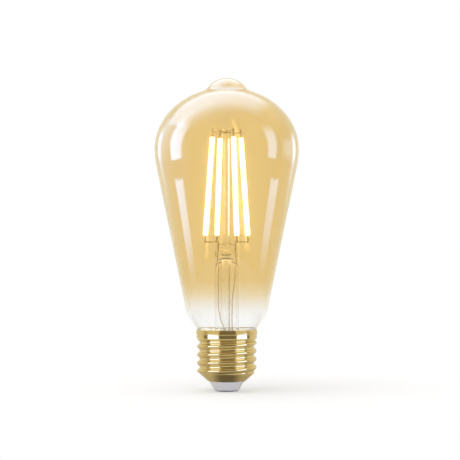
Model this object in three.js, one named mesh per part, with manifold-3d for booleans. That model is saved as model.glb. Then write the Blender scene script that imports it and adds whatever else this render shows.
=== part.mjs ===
// Filament lamp with a wireless driver: a pear-shaped glass envelope, a glass stem that carries four LED
// filaments, and an E27 screw cap that hides the driver.
// Millimetres, +Z up. The origin is the centre of the flat end contact on which the lamp stands.
import * as THREE from "three";
import { mergeVertices } from "three/addons/utils/BufferGeometryUtils.js";
import Module from "manifold-3d";

const wasm = await Module();
wasm.setup();

const { cos, sin, atan2, hypot, PI } = Math;
const degrees = (angle) => (angle * PI) / 180;

// ---------------------------------------------------------------- shared clearances and facet counts
const CLEARANCE = 0.3;
const ENVELOPE_FACETS = 40;
const SHELL_FACETS = 36;
const RING_FACETS = 24;
const ROD_FACETS = 12;
const ARC_STEPS = 5;

// ---------------------------------------------------------------- glass envelope
const LAMP_HEIGHT = 139;
const BULB_DIAMETER = 64;
const GLASS_WALL = 0.8;
const DOME_RISE = 27.2;
const TIP_RISE = 4.3;
const TIP_RADIUS = 10.4;
const TIP_FILLET = 1.6;
const TIP_FOOT_ANGLE = 38;
const BELLY_BLEND_RADIUS = 38;
const SHOULDER_RADIUS = 18.35;
const SHOULDER_ABOVE_RIM = 10.2;
const SHOULDER_BLEND_RADIUS = 14;
const SHOULDER_TURN = 22;
const SHOULDER_OVER_RIM = 0.6;
const SHOULDER_OVERHANG = 0.22;
const NECK_LENGTH_IN_CAP = 5.5;
const NECK_BELOW_RIM = 1.8;

// ---------------------------------------------------------------- screw cap
const RIM_HEIGHT = 27;
const COLLAR_LENGTH = 3.6;
const COLLAR_PROUD = 0.13;
const THREAD_MAJOR_DIAMETER = 26.5;
const THREAD_DEPTH = 1.15;
const THREAD_MINOR_DIAMETER = THREAD_MAJOR_DIAMETER - 2 * THREAD_DEPTH;
const COLLAR_DIAMETER = THREAD_MAJOR_DIAMETER + 2 * COLLAR_PROUD;
const THREAD_PITCH = 3.629;
const THREAD_CREST_AT_X = 10.67;
const THREAD_ROWS_PER_TURN = 5;
const THREAD_RUN_OUT = 1.2;
const BOWL_TOP = 8.4;
const BOWL_STEP = 0.4;
const BOWL_MOUTH_HEIGHT = 4.5;
const BOWL_MOUTH_RADIUS = 8.35;
const SHELL_WALL = 0.3;

// ---------------------------------------------------------------- end contact and base insulator
const CONTACT_PROUD = 0.3;
const CONTACT_RADIUS = 4.1;
const CONTACT_THICKNESS = 0.8;
const CONTACT_PIN_RADIUS = 1;
const INSULATOR_BELOW_THREAD = 1.2;
const INSULATOR_TOP = BOWL_TOP - INSULATOR_BELOW_THREAD;
const CONTACT_PIN_TOP = INSULATOR_TOP + 0.4;
const INSULATOR_SEAT_ABOVE_MOUTH = 0.5;
const INSULATOR_HOLLOW = 0.1;
const INSULATOR_FOOT_RADIUS = 4.75;
const INSULATOR_CORNER_RADIUS = 5.8;
const INSULATOR_CORNER_HEIGHT = 1.2;

// ---------------------------------------------------------------- driver stack inside the cap
const SLEEVE_WALL = 0.5;
const SLEEVE_LEDGE = 1.4;
const ROOM_UNDER_BOARD = 2.8;
const BOARD_BOTTOM = INSULATOR_TOP + ROOM_UNDER_BOARD;
const BOARD_THICKNESS = 1;
// The parts were laid out on a board of this radius, and follow the board in plan when it changes.
const LAYOUT_RADIUS = 10.52;
const MODULE_THICKNESS = 0.8;
const MODULE_WIDTH = 11;
const MODULE_BELOW_FLARE = 1.7;
const MODULE_INSET = 2.6;
const SHIELD_SIZE = { thickness: 1.6, width: 7, height: 5.5 };
const SHIELD_ABOVE_BOARD = 1.4;
const CAPACITOR_RADIUS = 3.1;
const CAPACITOR_HEIGHT = 7.5;
const FILM_CAPACITOR_SIZE = { thickness: 2.8, width: 5.2, height: 6.5 };
const INDUCTOR_RADIUS = 2.6;
const INDUCTOR_HEIGHT = 5.2;
const INDUCTOR_FLANGE = 0.7;
const INDUCTOR_GROOVE = 0.6;
const RESISTOR_RADIUS = 1.2;
const RESISTOR_HEIGHT = 6.4;
const RESISTOR_LEAD_RADIUS = 0.3;
const RESISTOR_LEAD_LENGTH = 0.8;
const RECTIFIER_SIZE = { thickness: 4, width: 4.8, height: 1.8 };
const CHIP_SIZE = { thickness: 4, width: 5, height: 1.5 };
const CAPACITOR_FROM_EDGE = 0.8;
const CAPACITOR_SIDEWAYS = 2.6;
const FILM_CAPACITOR_PLACE = [-6.2, -4.4];
const FILM_CAPACITOR_TURN = 35;
const INDUCTOR_PLACE = [0.5, 7];
const RESISTOR_PLACE = [0.8, -7.6];
const RECTIFIER_PLACE = [-5.2, 0];
const CHIP_PLACE = [4.8, -2.4];
const LEFT_LEAD_PAD = [-1.4, -3.8];
const RIGHT_LEAD_PAD = [2.8, 1.8];
const ANTENNA_PAD_SIDEWAYS = -4.4;
const MAINS_WIRE_DIAMETER = 0.6;
const LIVE_PAD = [1.6, 2.6];
const NEUTRAL_ANGLE = 60;
const NEUTRAL_FROM_EDGE = 1;
const NEUTRAL_ABOVE_BOARD = 1.2;

// ---------------------------------------------------------------- glass stem
const STEM_DIAMETER = 10.6;
const STEM_WALL = 0.8;
const STEM_STRAIGHT_TOP = 57;
const STEM_DOME_RISE = 2.6;
const FLARE_RIM_WIDTH = 1.4;
const FLARE_LENGTH = 5.3;
const PRESS_HEIGHT = 8.5;
const PRESS_TOP = STEM_STRAIGHT_TOP + PRESS_HEIGHT;
const PRESS_WIDTH = STEM_DIAMETER - 0.2;
const PRESS_THICKNESS = 3.8;
const PRESS_FLAT_WIDTH = 3.4;
const PRESS_ABOVE_TUBE = 0.6;
const PRESS_SHOULDER = 2;
const EXHAUST_DIAMETER = STEM_DIAMETER / 2.6;
const EXHAUST_WALL = 0.6;
const EXHAUST_OFFSET = -STEM_DIAMETER / 12;
const EXHAUST_TIP_LENGTH = 4;
const EXHAUST_PORT_RADIUS = 0.8;
const EXHAUST_PORT_ABOVE_FOOT = 1.4;
const POST_DIAMETER = 2.7;

// ---------------------------------------------------------------- wires
const LEAD_DIAMETER = 0.5;
// How far out in the bore of the stem the leads stand, as a share of the bore's radius.
const LEAD_SPREAD = 5 / 6;
// Turns of the wires inside the stem: angle about the axis, share of the bore, height above the throat.
const LEFT_LEAD_TURNS = [
  [180, LEAD_SPREAD, 11],
  [221, LEAD_SPREAD, 7],
  [256, LEAD_SPREAD, 2],
];
const RIGHT_LEAD_TURNS = [
  [0, LEAD_SPREAD, 25],
  [9.5, 0.54, 14],
];
const ANTENNA_TURN = [-69, 0.7, -1];
const ANTENNA_BELOW_DOME = 1.5;
const ANTENNA_IN_FLARE = [4.4, -3.6];
const LEAD_WELD_HEIGHT = PRESS_TOP - 3;
const LEAD_ABOVE_PRESS = 0.8;
const LEAD_TURN_HEIGHT = PRESS_TOP + LEAD_ABOVE_PRESS;
const ANCHOR_DIAMETER = 0.42;
const ANCHOR_ABOVE_FILAMENTS = 2.1;
const WIRE_BEND = 0.9;

// ---------------------------------------------------------------- LED filaments
const FILAMENT_COUNT = 4;
const FILAMENT_FIRST_ANGLE = 25.3;
const FILAMENT_ABOVE_LEADS = 2.7;
const FILAMENT_FOOT_HEIGHT = LEAD_TURN_HEIGHT + FILAMENT_ABOVE_LEADS;
const FILAMENT_FOOT_RADIUS = 10.4;
const FILAMENT_RISE = 43.7;
const ANCHOR_HEIGHT = FILAMENT_FOOT_HEIGHT + FILAMENT_RISE + ANCHOR_ABOVE_FILAMENTS;
const FILAMENT_HEAD_RADIUS = 7;
const JACKET_DIAMETER = 2.2;
const JACKET_WALL = 0.3;
const STRIP_WIDTH = 0.9;
const STRIP_THICKNESS = 0.25;
const CHIP_THICKNESS = 0.12;
const CHIP_COUNT = 12;
const TAB_WIDTH = 0.8;
const TAB_THICKNESS = 0.3;
const TAB_GRIP = 0.7;
const LOWER_TAB_REACH = 3.2;
const UPPER_TAB_REACH = 3.9;

// ---------------------------------------------------------------- materials
const material = (color, roughness, metalness = 0) =>
  new THREE.MeshStandardMaterial({ color, roughness, metalness });
const finishes = {
  amberGlass: () => material("#e8bf72", 0.05),
  clearGlass: () => material("#f1efe9", 0.05),
  brass: () => material("#d9b65c", 0.2, 1),
  nickel: () => material("#b9b6ae", 0.3, 1),
  copper: () => material("#b8764a", 0.35, 1),
  phosphor: () => material("#f6cf52", 0.7),
  ceramic: () => material("#eeeeea", 0.5),
  whitePlastic: () => material("#ececf0", 0.45),
  cement: () => material("#cfc8ba", 0.9),
  sleeve: () => material("#e4e2da", 0.6),
  board: () => material("#2f6b45", 0.5),
  blackResin: () => material("#26262a", 0.5),
  capacitor: () => material("#2b3350", 0.4),
  film: () => material("#b5452f", 0.5),
  resistor: () => material("#5f8fb0", 0.5),
  tinned: () => material("#c4c6c8", 0.35, 1),
};

// ---------------------------------------------------------------- geometry helpers
const point = (radius, height) => new THREE.Vector2(radius, height);

// A closed outline of radius and height points, turned about the Z axis.
function turned(outline, facets) {
  return new THREE.LatheGeometry(outline, facets).rotateX(PI / 2);
}

// A ring or open tube: the outline is closed on itself.
function turnedRing(outline, facets) {
  return turned([...outline, outline[0].clone()], facets);
}

function toSolid(geometry) {
  const bare = geometry.clone();
  bare.deleteAttribute("normal");
  bare.deleteAttribute("uv");
  const merged = mergeVertices(bare, 1e-4);
  const vertProperties = new Float32Array(merged.attributes.position.array);
  const triVerts = new Uint32Array(merged.index.array);
  return new wasm.Manifold(new wasm.Mesh({ numProp: 3, vertProperties, triVerts }));
}

function toGeometry(solid) {
  const mesh = solid.getMesh();
  const geometry = new THREE.BufferGeometry();
  geometry.setAttribute("position", new THREE.BufferAttribute(mesh.vertProperties, 3));
  geometry.setIndex(new THREE.BufferAttribute(mesh.triVerts, 1));
  geometry.computeVertexNormals();
  return geometry;
}

function cutFrom(body, ...tools) {
  return toGeometry(tools.reduce((left, tool) => left.subtract(toSolid(tool)), toSolid(body)));
}

function joined(...bodies) {
  return toGeometry(bodies.slice(1).reduce((sum, body) => sum.add(toSolid(body)), toSolid(bodies[0])));
}

// A round bar that stands on (x, y) between two heights.
function uprightRod(radius, bottom, top, x = 0, y = 0, facets = ROD_FACETS) {
  const rod = new THREE.CylinderGeometry(radius, radius, top - bottom, facets).rotateX(PI / 2);
  return rod.translate(x, y, (bottom + top) / 2);
}

// A box that stands on the height given as its bottom.
function standingBox(width, depth, height, bottom) {
  return new THREE.BoxGeometry(width, depth, height).translate(0, 0, bottom + height / 2);
}

// A line through the points with its corners rounded.
function bentPath(points) {
  const path = new THREE.CurvePath();
  let start = points[0];
  for (let i = 1; i < points.length - 1; i += 1) {
    const corner = points[i];
    const before = corner.clone().lerp(start, WIRE_BEND / corner.distanceTo(start));
    const after = corner.clone().lerp(points[i + 1], WIRE_BEND / corner.distanceTo(points[i + 1]));
    path.add(new THREE.LineCurve3(start, before));
    path.add(new THREE.QuadraticBezierCurve3(before, corner, after));
    start = after;
  }
  path.add(new THREE.LineCurve3(start, points.at(-1)));
  return path;
}

// A round wire along a bent path; stepLength is the length of one facet along it.
function wire(diameter, stepLength, ...points) {
  const path = bentPath(points.map(([x, y, z]) => new THREE.Vector3(x, y, z)));
  const section = new THREE.Shape().absarc(0, 0, diameter / 2, 0, 2 * PI);
  const steps = Math.max(1, Math.round(path.getLength() / stepLength));
  return new THREE.ExtrudeGeometry(section, {
    steps,
    curveSegments: 3,
    bevelEnabled: false,
    extrudePath: path,
  });
}

const lamp = new THREE.Group();

function place(name, geometry, finish, parent = lamp) {
  const mesh = new THREE.Mesh(geometry, finishes[finish]());
  mesh.name = name;
  parent.add(mesh);
  return mesh;
}

// ---------------------------------------------------------------- screw shell, shared radii
const threadMeanRadius = (THREAD_MAJOR_DIAMETER + THREAD_MINOR_DIAMETER) / 4;
const threadWave = (THREAD_MAJOR_DIAMETER - THREAD_MINOR_DIAMETER) / 4;
const shellRootInside = THREAD_MINOR_DIAMETER / 2 - SHELL_WALL;
const collarRadius = COLLAR_DIAMETER / 2;
const collarInside = collarRadius - SHELL_WALL;
const collarBottom = RIM_HEIGHT - COLLAR_LENGTH;
const neckRadius = shellRootInside - 2 * CLEARANCE;

// The bowl below the thread narrows to its mouth as a cone, with a short rounded step at the top.
const bowlReach = threadMeanRadius - BOWL_STEP - BOWL_MOUTH_RADIUS;
const bowlSlope = bowlReach / (BOWL_TOP - BOWL_STEP - BOWL_MOUTH_HEIGHT);
const bowlRadius = (height) => BOWL_MOUTH_RADIUS + bowlSlope * (height - BOWL_MOUTH_HEIGHT);
// Across the bowl's slope of about 45 degrees, a wall takes 1.4 times its thickness in radius.
const BOWL_SLOPE_FACTOR = 1.4;
const bowlInside = (height) => bowlRadius(height) - SHELL_WALL * BOWL_SLOPE_FACTOR;

function smoothStep(low, high, value) {
  return THREE.MathUtils.smoothstep(value, low, high);
}

// How far the rolled right-hand thread pushes the wall in or out at an angle and a height.
function threadShift(angle, height) {
  const turns = (height - THREAD_CREST_AT_X) / THREAD_PITCH - angle / (2 * PI);
  const lower = smoothStep(BOWL_TOP - THREAD_RUN_OUT / 2, BOWL_TOP + THREAD_RUN_OUT / 2, height);
  const upper = 1 - smoothStep(collarBottom - THREAD_RUN_OUT, collarBottom, height);
  return threadWave * cos(turns * 2 * PI) * lower * upper;
}

function screwShell() {
  const rows = [];
  for (const height of [BOWL_MOUTH_HEIGHT, BOWL_TOP - BOWL_STEP]) {
    rows.push([bowlRadius(height), bowlInside(height), height]);
  }
  const threadSpan = collarBottom - THREAD_RUN_OUT / 2 - BOWL_TOP;
  const threadRows = Math.round((threadSpan / THREAD_PITCH) * THREAD_ROWS_PER_TURN);
  for (let i = 0; i <= threadRows; i += 1) {
    const height = BOWL_TOP + (threadSpan * i) / threadRows;
    rows.push([threadMeanRadius, threadMeanRadius - SHELL_WALL, height]);
  }
  rows.push([collarRadius, collarInside, collarBottom]);
  rows.push([collarRadius, collarInside, RIM_HEIGHT]);
  const outside = rows.map(([outer, , height]) => point(outer, height));
  const inside = rows.map(([, inner, height]) => point(inner, height)).reverse();
  const shell = turnedRing([...outside, ...inside], SHELL_FACETS);
  const place3 = shell.attributes.position;
  for (let i = 0; i < place3.count; i += 1) {
    const x = place3.getX(i);
    const y = place3.getY(i);
    const radius = hypot(x, y);
    const moved = (radius + threadShift(atan2(y, x), place3.getZ(i))) / radius;
    place3.setXY(i, x * moved, y * moved);
  }
  return shell;
}

// ---------------------------------------------------------------- end contact and base insulator
function centreContact() {
  return turned(
    [
      point(0, 0),
      point(CONTACT_RADIUS, 0),
      point(CONTACT_RADIUS, CONTACT_THICKNESS),
      point(CONTACT_PIN_RADIUS, CONTACT_THICKNESS),
      point(CONTACT_PIN_RADIUS, CONTACT_PIN_TOP),
      point(0, CONTACT_PIN_TOP),
    ],
    RING_FACETS,
  );
}

function baseInsulator() {
  const bore = CONTACT_PIN_RADIUS + CLEARANCE;
  const recess = CONTACT_RADIUS + CLEARANCE;
  const visibleTop = BOWL_MOUTH_RADIUS - SHELL_WALL;
  const seat = BOWL_MOUTH_HEIGHT + INSULATOR_SEAT_ABOVE_MOUTH;
  const midRadius = (INSULATOR_CORNER_RADIUS + visibleTop) / 2 - INSULATOR_HOLLOW;
  const midHeight = (INSULATOR_CORNER_HEIGHT + seat) / 2 + INSULATOR_HOLLOW;
  return turnedRing(
    [
      point(recess, CONTACT_PROUD),
      point(INSULATOR_FOOT_RADIUS, CONTACT_PROUD),
      point(INSULATOR_CORNER_RADIUS, INSULATOR_CORNER_HEIGHT),
      point(midRadius, midHeight),
      point(bowlInside(BOWL_MOUTH_HEIGHT) - CLEARANCE, BOWL_MOUTH_HEIGHT - CLEARANCE),
      point(bowlInside(seat) - CLEARANCE * BOWL_SLOPE_FACTOR, seat),
      point(bowlInside(INSULATOR_TOP) - CLEARANCE * BOWL_SLOPE_FACTOR, INSULATOR_TOP),
      point(bore, INSULATOR_TOP),
      point(bore, CONTACT_THICKNESS),
      point(recess, CONTACT_THICKNESS),
    ],
    RING_FACETS,
  );
}

// ---------------------------------------------------------------- glass envelope
const envelopeFoot = RIM_HEIGHT - NECK_LENGTH_IN_CAP;
const bellyRadius = BULB_DIAMETER / 2;
const domeTop = LAMP_HEIGHT - TIP_RISE;
const bellyHeight = domeTop - DOME_RISE;

// The side runs straight from the shoulder and meets the belly's arc as a tangent.
function bellyTangent() {
  const shoulder = point(SHOULDER_RADIUS, RIM_HEIGHT + SHOULDER_ABOVE_RIM);
  const centre = point(bellyRadius - BELLY_BLEND_RADIUS, bellyHeight);
  const reach = centre.clone().sub(shoulder);
  const distance = reach.length();
  const slope = atan2(reach.y, reach.x) - Math.asin(BELLY_BLEND_RADIUS / distance);
  return { centre, slope };
}

function envelopeOutline() {
  const outline = [];
  const { centre, slope } = bellyTangent();
  const lean = PI / 2 - slope;
  const shoulderHeight = RIM_HEIGHT + SHOULDER_ABOVE_RIM;
  outline.push(point(neckRadius, envelopeFoot));
  outline.push(point(neckRadius, RIM_HEIGHT - NECK_BELOW_RIM));
  outline.push(point(collarInside - CLEARANCE, RIM_HEIGHT + CLEARANCE / 3));
  outline.push(point(collarRadius + SHOULDER_OVERHANG, RIM_HEIGHT + SHOULDER_OVER_RIM));
  // The shoulder turns from the side's slope to the steeper run down to the rim.
  for (let i = ARC_STEPS - 1; i >= 0; i -= 1) {
    const turn = (degrees(SHOULDER_TURN) * i) / (ARC_STEPS - 1);
    const radius = SHOULDER_RADIUS + SHOULDER_BLEND_RADIUS * (cos(lean + turn) - cos(lean));
    const height = shoulderHeight - SHOULDER_BLEND_RADIUS * (sin(lean + turn) - sin(lean));
    outline.push(point(radius, height));
  }
  const bellySteps = 2;
  for (let i = 0; i <= bellySteps; i += 1) {
    const angle = -lean * (1 - i / bellySteps);
    const onArc = point(cos(angle), sin(angle)).multiplyScalar(BELLY_BLEND_RADIUS);
    outline.push(onArc.add(centre));
  }
  // The dome is a quarter ellipse up to the foot of the tip.
  const tipCentre = LAMP_HEIGHT - TIP_RADIUS;
  const tipFoot = degrees(TIP_FOOT_ANGLE);
  const domeEnd = Math.acos((TIP_RADIUS * cos(tipFoot) + TIP_FILLET) / bellyRadius);
  const domeSteps = 7;
  for (let i = 1; i <= domeSteps; i += 1) {
    const angle = (domeEnd * i) / domeSteps;
    outline.push(point(bellyRadius * cos(angle), bellyHeight + DOME_RISE * sin(angle)));
  }
  for (let i = 0; i <= ARC_STEPS; i += 1) {
    const angle = tipFoot + ((PI / 2 - tipFoot) * i) / ARC_STEPS;
    outline.push(point(TIP_RADIUS * cos(angle), tipCentre + TIP_RADIUS * sin(angle)));
  }
  outline.at(-1).x = 0;
  return outline;
}

// The same outline moved inwards by the wall, square to the surface.
function inset(outline, wall) {
  return outline.map((here, i) => {
    const before = outline[Math.max(0, i - 1)];
    const after = outline[Math.min(outline.length - 1, i + 1)];
    const along = after.clone().sub(before).normalize();
    return point(here.x - along.y * wall, here.y + along.x * wall);
  });
}

function glassEnvelope() {
  const outside = envelopeOutline();
  const inside = inset(outside, GLASS_WALL);
  inside[0].set(outside[0].x - GLASS_WALL, outside[0].y);
  inside.at(-1).set(0, outside.at(-1).y - GLASS_WALL);
  return turned([...inside.reverse(), ...outside], ENVELOPE_FACETS);
}

// Cement fills the collar between the brass and the glass, under the slope of the glass.
function basingCement() {
  const outer = collarInside - CLEARANCE;
  const inner = neckRadius + CLEARANCE;
  const slopeFoot = RIM_HEIGHT - NECK_BELOW_RIM - CLEARANCE;
  const top = RIM_HEIGHT - 2 * CLEARANCE;
  return turnedRing(
    [
      point(inner, collarBottom + CLEARANCE),
      point(outer, collarBottom + CLEARANCE),
      point(outer, top),
      point(outer - CLEARANCE, top),
      point(inner, slopeFoot),
    ],
    RING_FACETS,
  );
}

// ---------------------------------------------------------------- glass stem
const stemRadius = STEM_DIAMETER / 2;
const stemBore = stemRadius - STEM_WALL;
const pressFoot = STEM_STRAIGHT_TOP + PRESS_ABOVE_TUBE;
const domeInsideRise = STEM_DOME_RISE - STEM_WALL;
const leadOffset = stemBore * LEAD_SPREAD;
const postRadius = POST_DIAMETER / 2;
const flareRimInside = neckRadius - FLARE_RIM_WIDTH;
const flareFoot = envelopeFoot - GLASS_WALL;

// A quarter ellipse from the tube down and out to the rim of the flare.
function flareCurve(tubeRadius, rimRadius, rimHeight) {
  const curve = [];
  for (let i = 0; i <= ARC_STEPS; i += 1) {
    const angle = (degrees(90) * i) / ARC_STEPS;
    const radius = rimRadius - (rimRadius - tubeRadius) * sin(angle);
    curve.push(point(radius, rimHeight + FLARE_LENGTH * (1 - cos(angle))));
  }
  return curve;
}

function stemTube() {
  const outside = [point(neckRadius, flareFoot), point(neckRadius, envelopeFoot)];
  outside.push(...flareCurve(stemRadius, flareRimInside, envelopeFoot));
  const inside = flareCurve(stemBore, flareRimInside - STEM_WALL, flareFoot);
  for (let i = 0; i <= 3; i += 1) {
    const angle = degrees(30 * i);
    outside.push(point(stemRadius * cos(angle), STEM_STRAIGHT_TOP + STEM_DOME_RISE * sin(angle)));
    inside.push(point(stemBore * cos(angle), STEM_STRAIGHT_TOP + domeInsideRise * sin(angle)));
  }
  outside.at(-1).x = 0;
  inside.at(-1).x = 0;
  return turned([...inside.reverse(), ...outside], RING_FACETS);
}

// The pinched block on top of the tube, with rounded shoulders and a flat for the post.
function pressBlock() {
  const half = PRESS_WIDTH / 2;
  const flat = PRESS_FLAT_WIDTH / 2;
  const outline = new THREE.Shape();
  outline.moveTo(-half, pressFoot);
  outline.lineTo(half, pressFoot);
  outline.lineTo(half, PRESS_TOP - PRESS_SHOULDER);
  outline.quadraticCurveTo(half, PRESS_TOP - PRESS_SHOULDER / 4, flat, PRESS_TOP);
  outline.lineTo(-flat, PRESS_TOP);
  outline.quadraticCurveTo(-half, PRESS_TOP - PRESS_SHOULDER / 4, -half, PRESS_TOP - PRESS_SHOULDER);
  const block = new THREE.ExtrudeGeometry(outline, {
    depth: PRESS_THICKNESS,
    bevelEnabled: false,
    curveSegments: ARC_STEPS,
  });
  return block.rotateX(PI / 2).translate(0, PRESS_THICKNESS / 2, 0);
}

// The stem is one piece of glass; the leads pass the press in channels, and a port opens the exhaust tube.
function glassStem() {
  const channel = LEAD_DIAMETER / 2 + CLEARANCE;
  const channelFoot = STEM_STRAIGHT_TOP - 1;
  const portHeight = pressFoot + EXHAUST_PORT_ABOVE_FOOT;
  const bore = EXHAUST_PORT_RADIUS;
  const port = new THREE.CylinderGeometry(bore, bore, STEM_DIAMETER, ROD_FACETS);
  return cutFrom(
    joined(stemTube(), pressBlock()),
    uprightRod(channel, channelFoot, PRESS_TOP + 1, -leadOffset),
    uprightRod(channel, channelFoot, PRESS_TOP + 1, leadOffset),
    uprightRod(bore, STEM_STRAIGHT_TOP, portHeight, EXHAUST_OFFSET),
    port.translate(EXHAUST_OFFSET, 0, portHeight),
  );
}

// Open at the top, where it meets the port; drawn to a closed tip that clears the parts on the board.
function exhaustTube() {
  const tip = BOARD_BOTTOM + BOARD_THICKNESS + CAPACITOR_HEIGHT + CLEARANCE;
  const outer = EXHAUST_DIAMETER / 2;
  const inner = outer - EXHAUST_WALL;
  const top = pressFoot - CLEARANCE;
  return turned(
    [
      point(0, tip),
      point(outer * 0.4, tip + EXHAUST_WALL),
      point(outer, tip + EXHAUST_TIP_LENGTH),
      point(outer, top),
      point(inner, top),
      point(inner, tip + EXHAUST_TIP_LENGTH),
      point(0, tip + EXHAUST_TIP_LENGTH / 2),
    ],
    ROD_FACETS,
  );
}

const upperAnchorHeight = ANCHOR_HEIGHT + ANCHOR_DIAMETER + CLEARANCE;

// The head of the post is slotted crosswise for the two anchor wires.
function centrePost() {
  const slotHalf = ANCHOR_DIAMETER / 2 + CLEARANCE;
  const top = upperAnchorHeight + CLEARANCE;
  const slot = (height) =>
    standingBox(POST_DIAMETER * 2, slotHalf * 2, top + 1 - height + slotHalf, height - slotHalf);
  return cutFrom(
    uprightRod(postRadius, PRESS_TOP, top),
    slot(ANCHOR_HEIGHT).rotateZ(degrees(FILAMENT_FIRST_ANGLE)),
    slot(upperAnchorHeight).rotateZ(degrees(FILAMENT_FIRST_ANGLE + 90)),
  );
}

// ---------------------------------------------------------------- filaments
const filamentLean = Math.atan((FILAMENT_FOOT_RADIUS - FILAMENT_HEAD_RADIUS) / FILAMENT_RISE);
const filamentLength = FILAMENT_RISE / cos(filamentLean);
const filamentAngle = (index) => FILAMENT_FIRST_ANGLE + (index * 360) / FILAMENT_COUNT;

// Distance of the filaments' common cone from the axis at a height.
function filamentRadius(height) {
  return FILAMENT_FOOT_RADIUS - (height - FILAMENT_FOOT_HEIGHT) * Math.tan(filamentLean);
}

function phosphorJacket() {
  const outer = JACKET_DIAMETER / 2;
  const inner = outer - JACKET_WALL;
  const round = JACKET_WALL * 0.6;
  return turnedRing(
    [
      point(inner, 0),
      point(outer - round, 0),
      point(outer, round),
      point(outer, filamentLength - round),
      point(outer - round, filamentLength),
      point(inner, filamentLength),
    ],
    ROD_FACETS,
  );
}

// A narrow carrier with a row of chips raised on one face.
function ledStrip() {
  const margin = TAB_GRIP + CLEARANCE;
  const length = filamentLength - 2 * margin;
  const pitch = length / CHIP_COUNT;
  const face = STRIP_THICKNESS / 2;
  const outline = new THREE.Shape();
  outline.moveTo(0, -face);
  outline.lineTo(length, -face);
  outline.lineTo(length, face);
  for (let i = CHIP_COUNT - 1; i >= 0; i -= 1) {
    outline.lineTo((i + 0.8) * pitch, face);
    outline.lineTo((i + 0.8) * pitch, face + CHIP_THICKNESS);
    outline.lineTo((i + 0.2) * pitch, face + CHIP_THICKNESS);
    outline.lineTo((i + 0.2) * pitch, face);
  }
  outline.lineTo(0, face);
  const strip = new THREE.ExtrudeGeometry(outline, { depth: STRIP_WIDTH, bevelEnabled: false });
  return strip.translate(0, 0, -STRIP_WIDTH / 2).rotateY(-PI / 2).rotateZ(PI / 2).translate(0, 0, margin);
}

for (let index = 0; index < FILAMENT_COUNT; index += 1) {
  const name = `filament_${index + 1}`;
  const arm = new THREE.Group();
  arm.rotation.z = degrees(filamentAngle(index));
  lamp.add(arm);
  const filament = new THREE.Group();
  filament.position.set(FILAMENT_FOOT_RADIUS, 0, FILAMENT_FOOT_HEIGHT);
  filament.rotation.y = -filamentLean;
  arm.add(filament);
  place(`${name}_phosphor`, phosphorJacket(), "phosphor", filament);
  place(`${name}_led_strip`, ledStrip(), "ceramic", filament);
  const tab = (reach, bottom) => standingBox(TAB_THICKNESS, TAB_WIDTH, reach + TAB_GRIP, bottom);
  place(`${name}_lower_tab`, tab(LOWER_TAB_REACH, -LOWER_TAB_REACH), "nickel", filament);
  place(`${name}_upper_tab`, tab(UPPER_TAB_REACH, filamentLength - TAB_GRIP), "nickel", filament);
}

// ---------------------------------------------------------------- anchor wires and leads inside the glass
function anchorWire(height) {
  const reach = filamentRadius(height) - TAB_THICKNESS / 2 - CLEARANCE;
  return wire(ANCHOR_DIAMETER, 2 * reach, [-reach, 0, height], [reach, 0, height]);
}

const anchors = new THREE.Group();
anchors.rotation.z = degrees(FILAMENT_FIRST_ANGLE);
lamp.add(anchors);
place("lower_anchor_wire", anchorWire(ANCHOR_HEIGHT), "nickel", anchors);
place("upper_anchor_wire", anchorWire(upperAnchorHeight), "nickel", anchors).rotation.z = PI / 2;

// Where the tab of a filament stands at the height of the leads, seen from above.
function tabFoot(index) {
  const radius = filamentRadius(LEAD_TURN_HEIGHT);
  const angle = degrees(filamentAngle(index));
  return new THREE.Vector3(radius * cos(angle), radius * sin(angle), LEAD_TURN_HEIGHT);
}

// A point on the way from one place to another, at a distance from the first.
function onTheWay(from, to, distance) {
  return from.clone().lerp(to, distance / from.distanceTo(to)).toArray();
}

const tabClear = TAB_WIDTH / 2 + CLEARANCE;
const leadHead = new THREE.Vector3(leadOffset, 0, LEAD_TURN_HEIGHT);
["right", "left"].forEach((side, turn) => {
  const half = new THREE.Group();
  half.rotation.z = turn * PI;
  lamp.add(half);
  const outerTab = tabFoot(0);
  const innerTab = tabFoot(FILAMENT_COUNT - 1);
  const inner = wire(
    LEAD_DIAMETER,
    1.6,
    [leadOffset, 0, LEAD_WELD_HEIGHT],
    leadHead.toArray(),
    onTheWay(outerTab, leadHead, tabClear),
  );
  const cross = wire(
    LEAD_DIAMETER,
    4,
    onTheWay(leadHead, innerTab, LEAD_DIAMETER + CLEARANCE),
    onTheWay(innerTab, leadHead, tabClear),
  );
  place(`${side}_inner_lead`, inner, "nickel", half);
  place(`${side}_cross_lead`, cross, "nickel", half);
});

// ---------------------------------------------------------------- driver stack in the cap
const sleeveRadius = shellRootInside - 1.6 * CLEARANCE;
const sleeveBore = sleeveRadius - SLEEVE_WALL;
const boardRadius = sleeveBore - CLEARANCE;
const boardTop = BOARD_BOTTOM + BOARD_THICKNESS;
const sleeveTop = flareFoot - CLEARANCE;

function insulatingSleeve() {
  const footRadius = bowlInside(INSULATOR_TOP) - 2 * CLEARANCE;
  const ledge = sleeveBore - SLEEVE_LEDGE;
  return turnedRing(
    [
      point(ledge, INSULATOR_TOP),
      point(footRadius, INSULATOR_TOP),
      point(sleeveRadius, BOWL_TOP + 0.6),
      point(sleeveRadius, sleeveTop),
      point(sleeveBore, sleeveTop),
      point(sleeveBore, BOARD_BOTTOM),
      point(ledge, BOARD_BOTTOM),
    ],
    RING_FACETS,
  );
}

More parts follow.
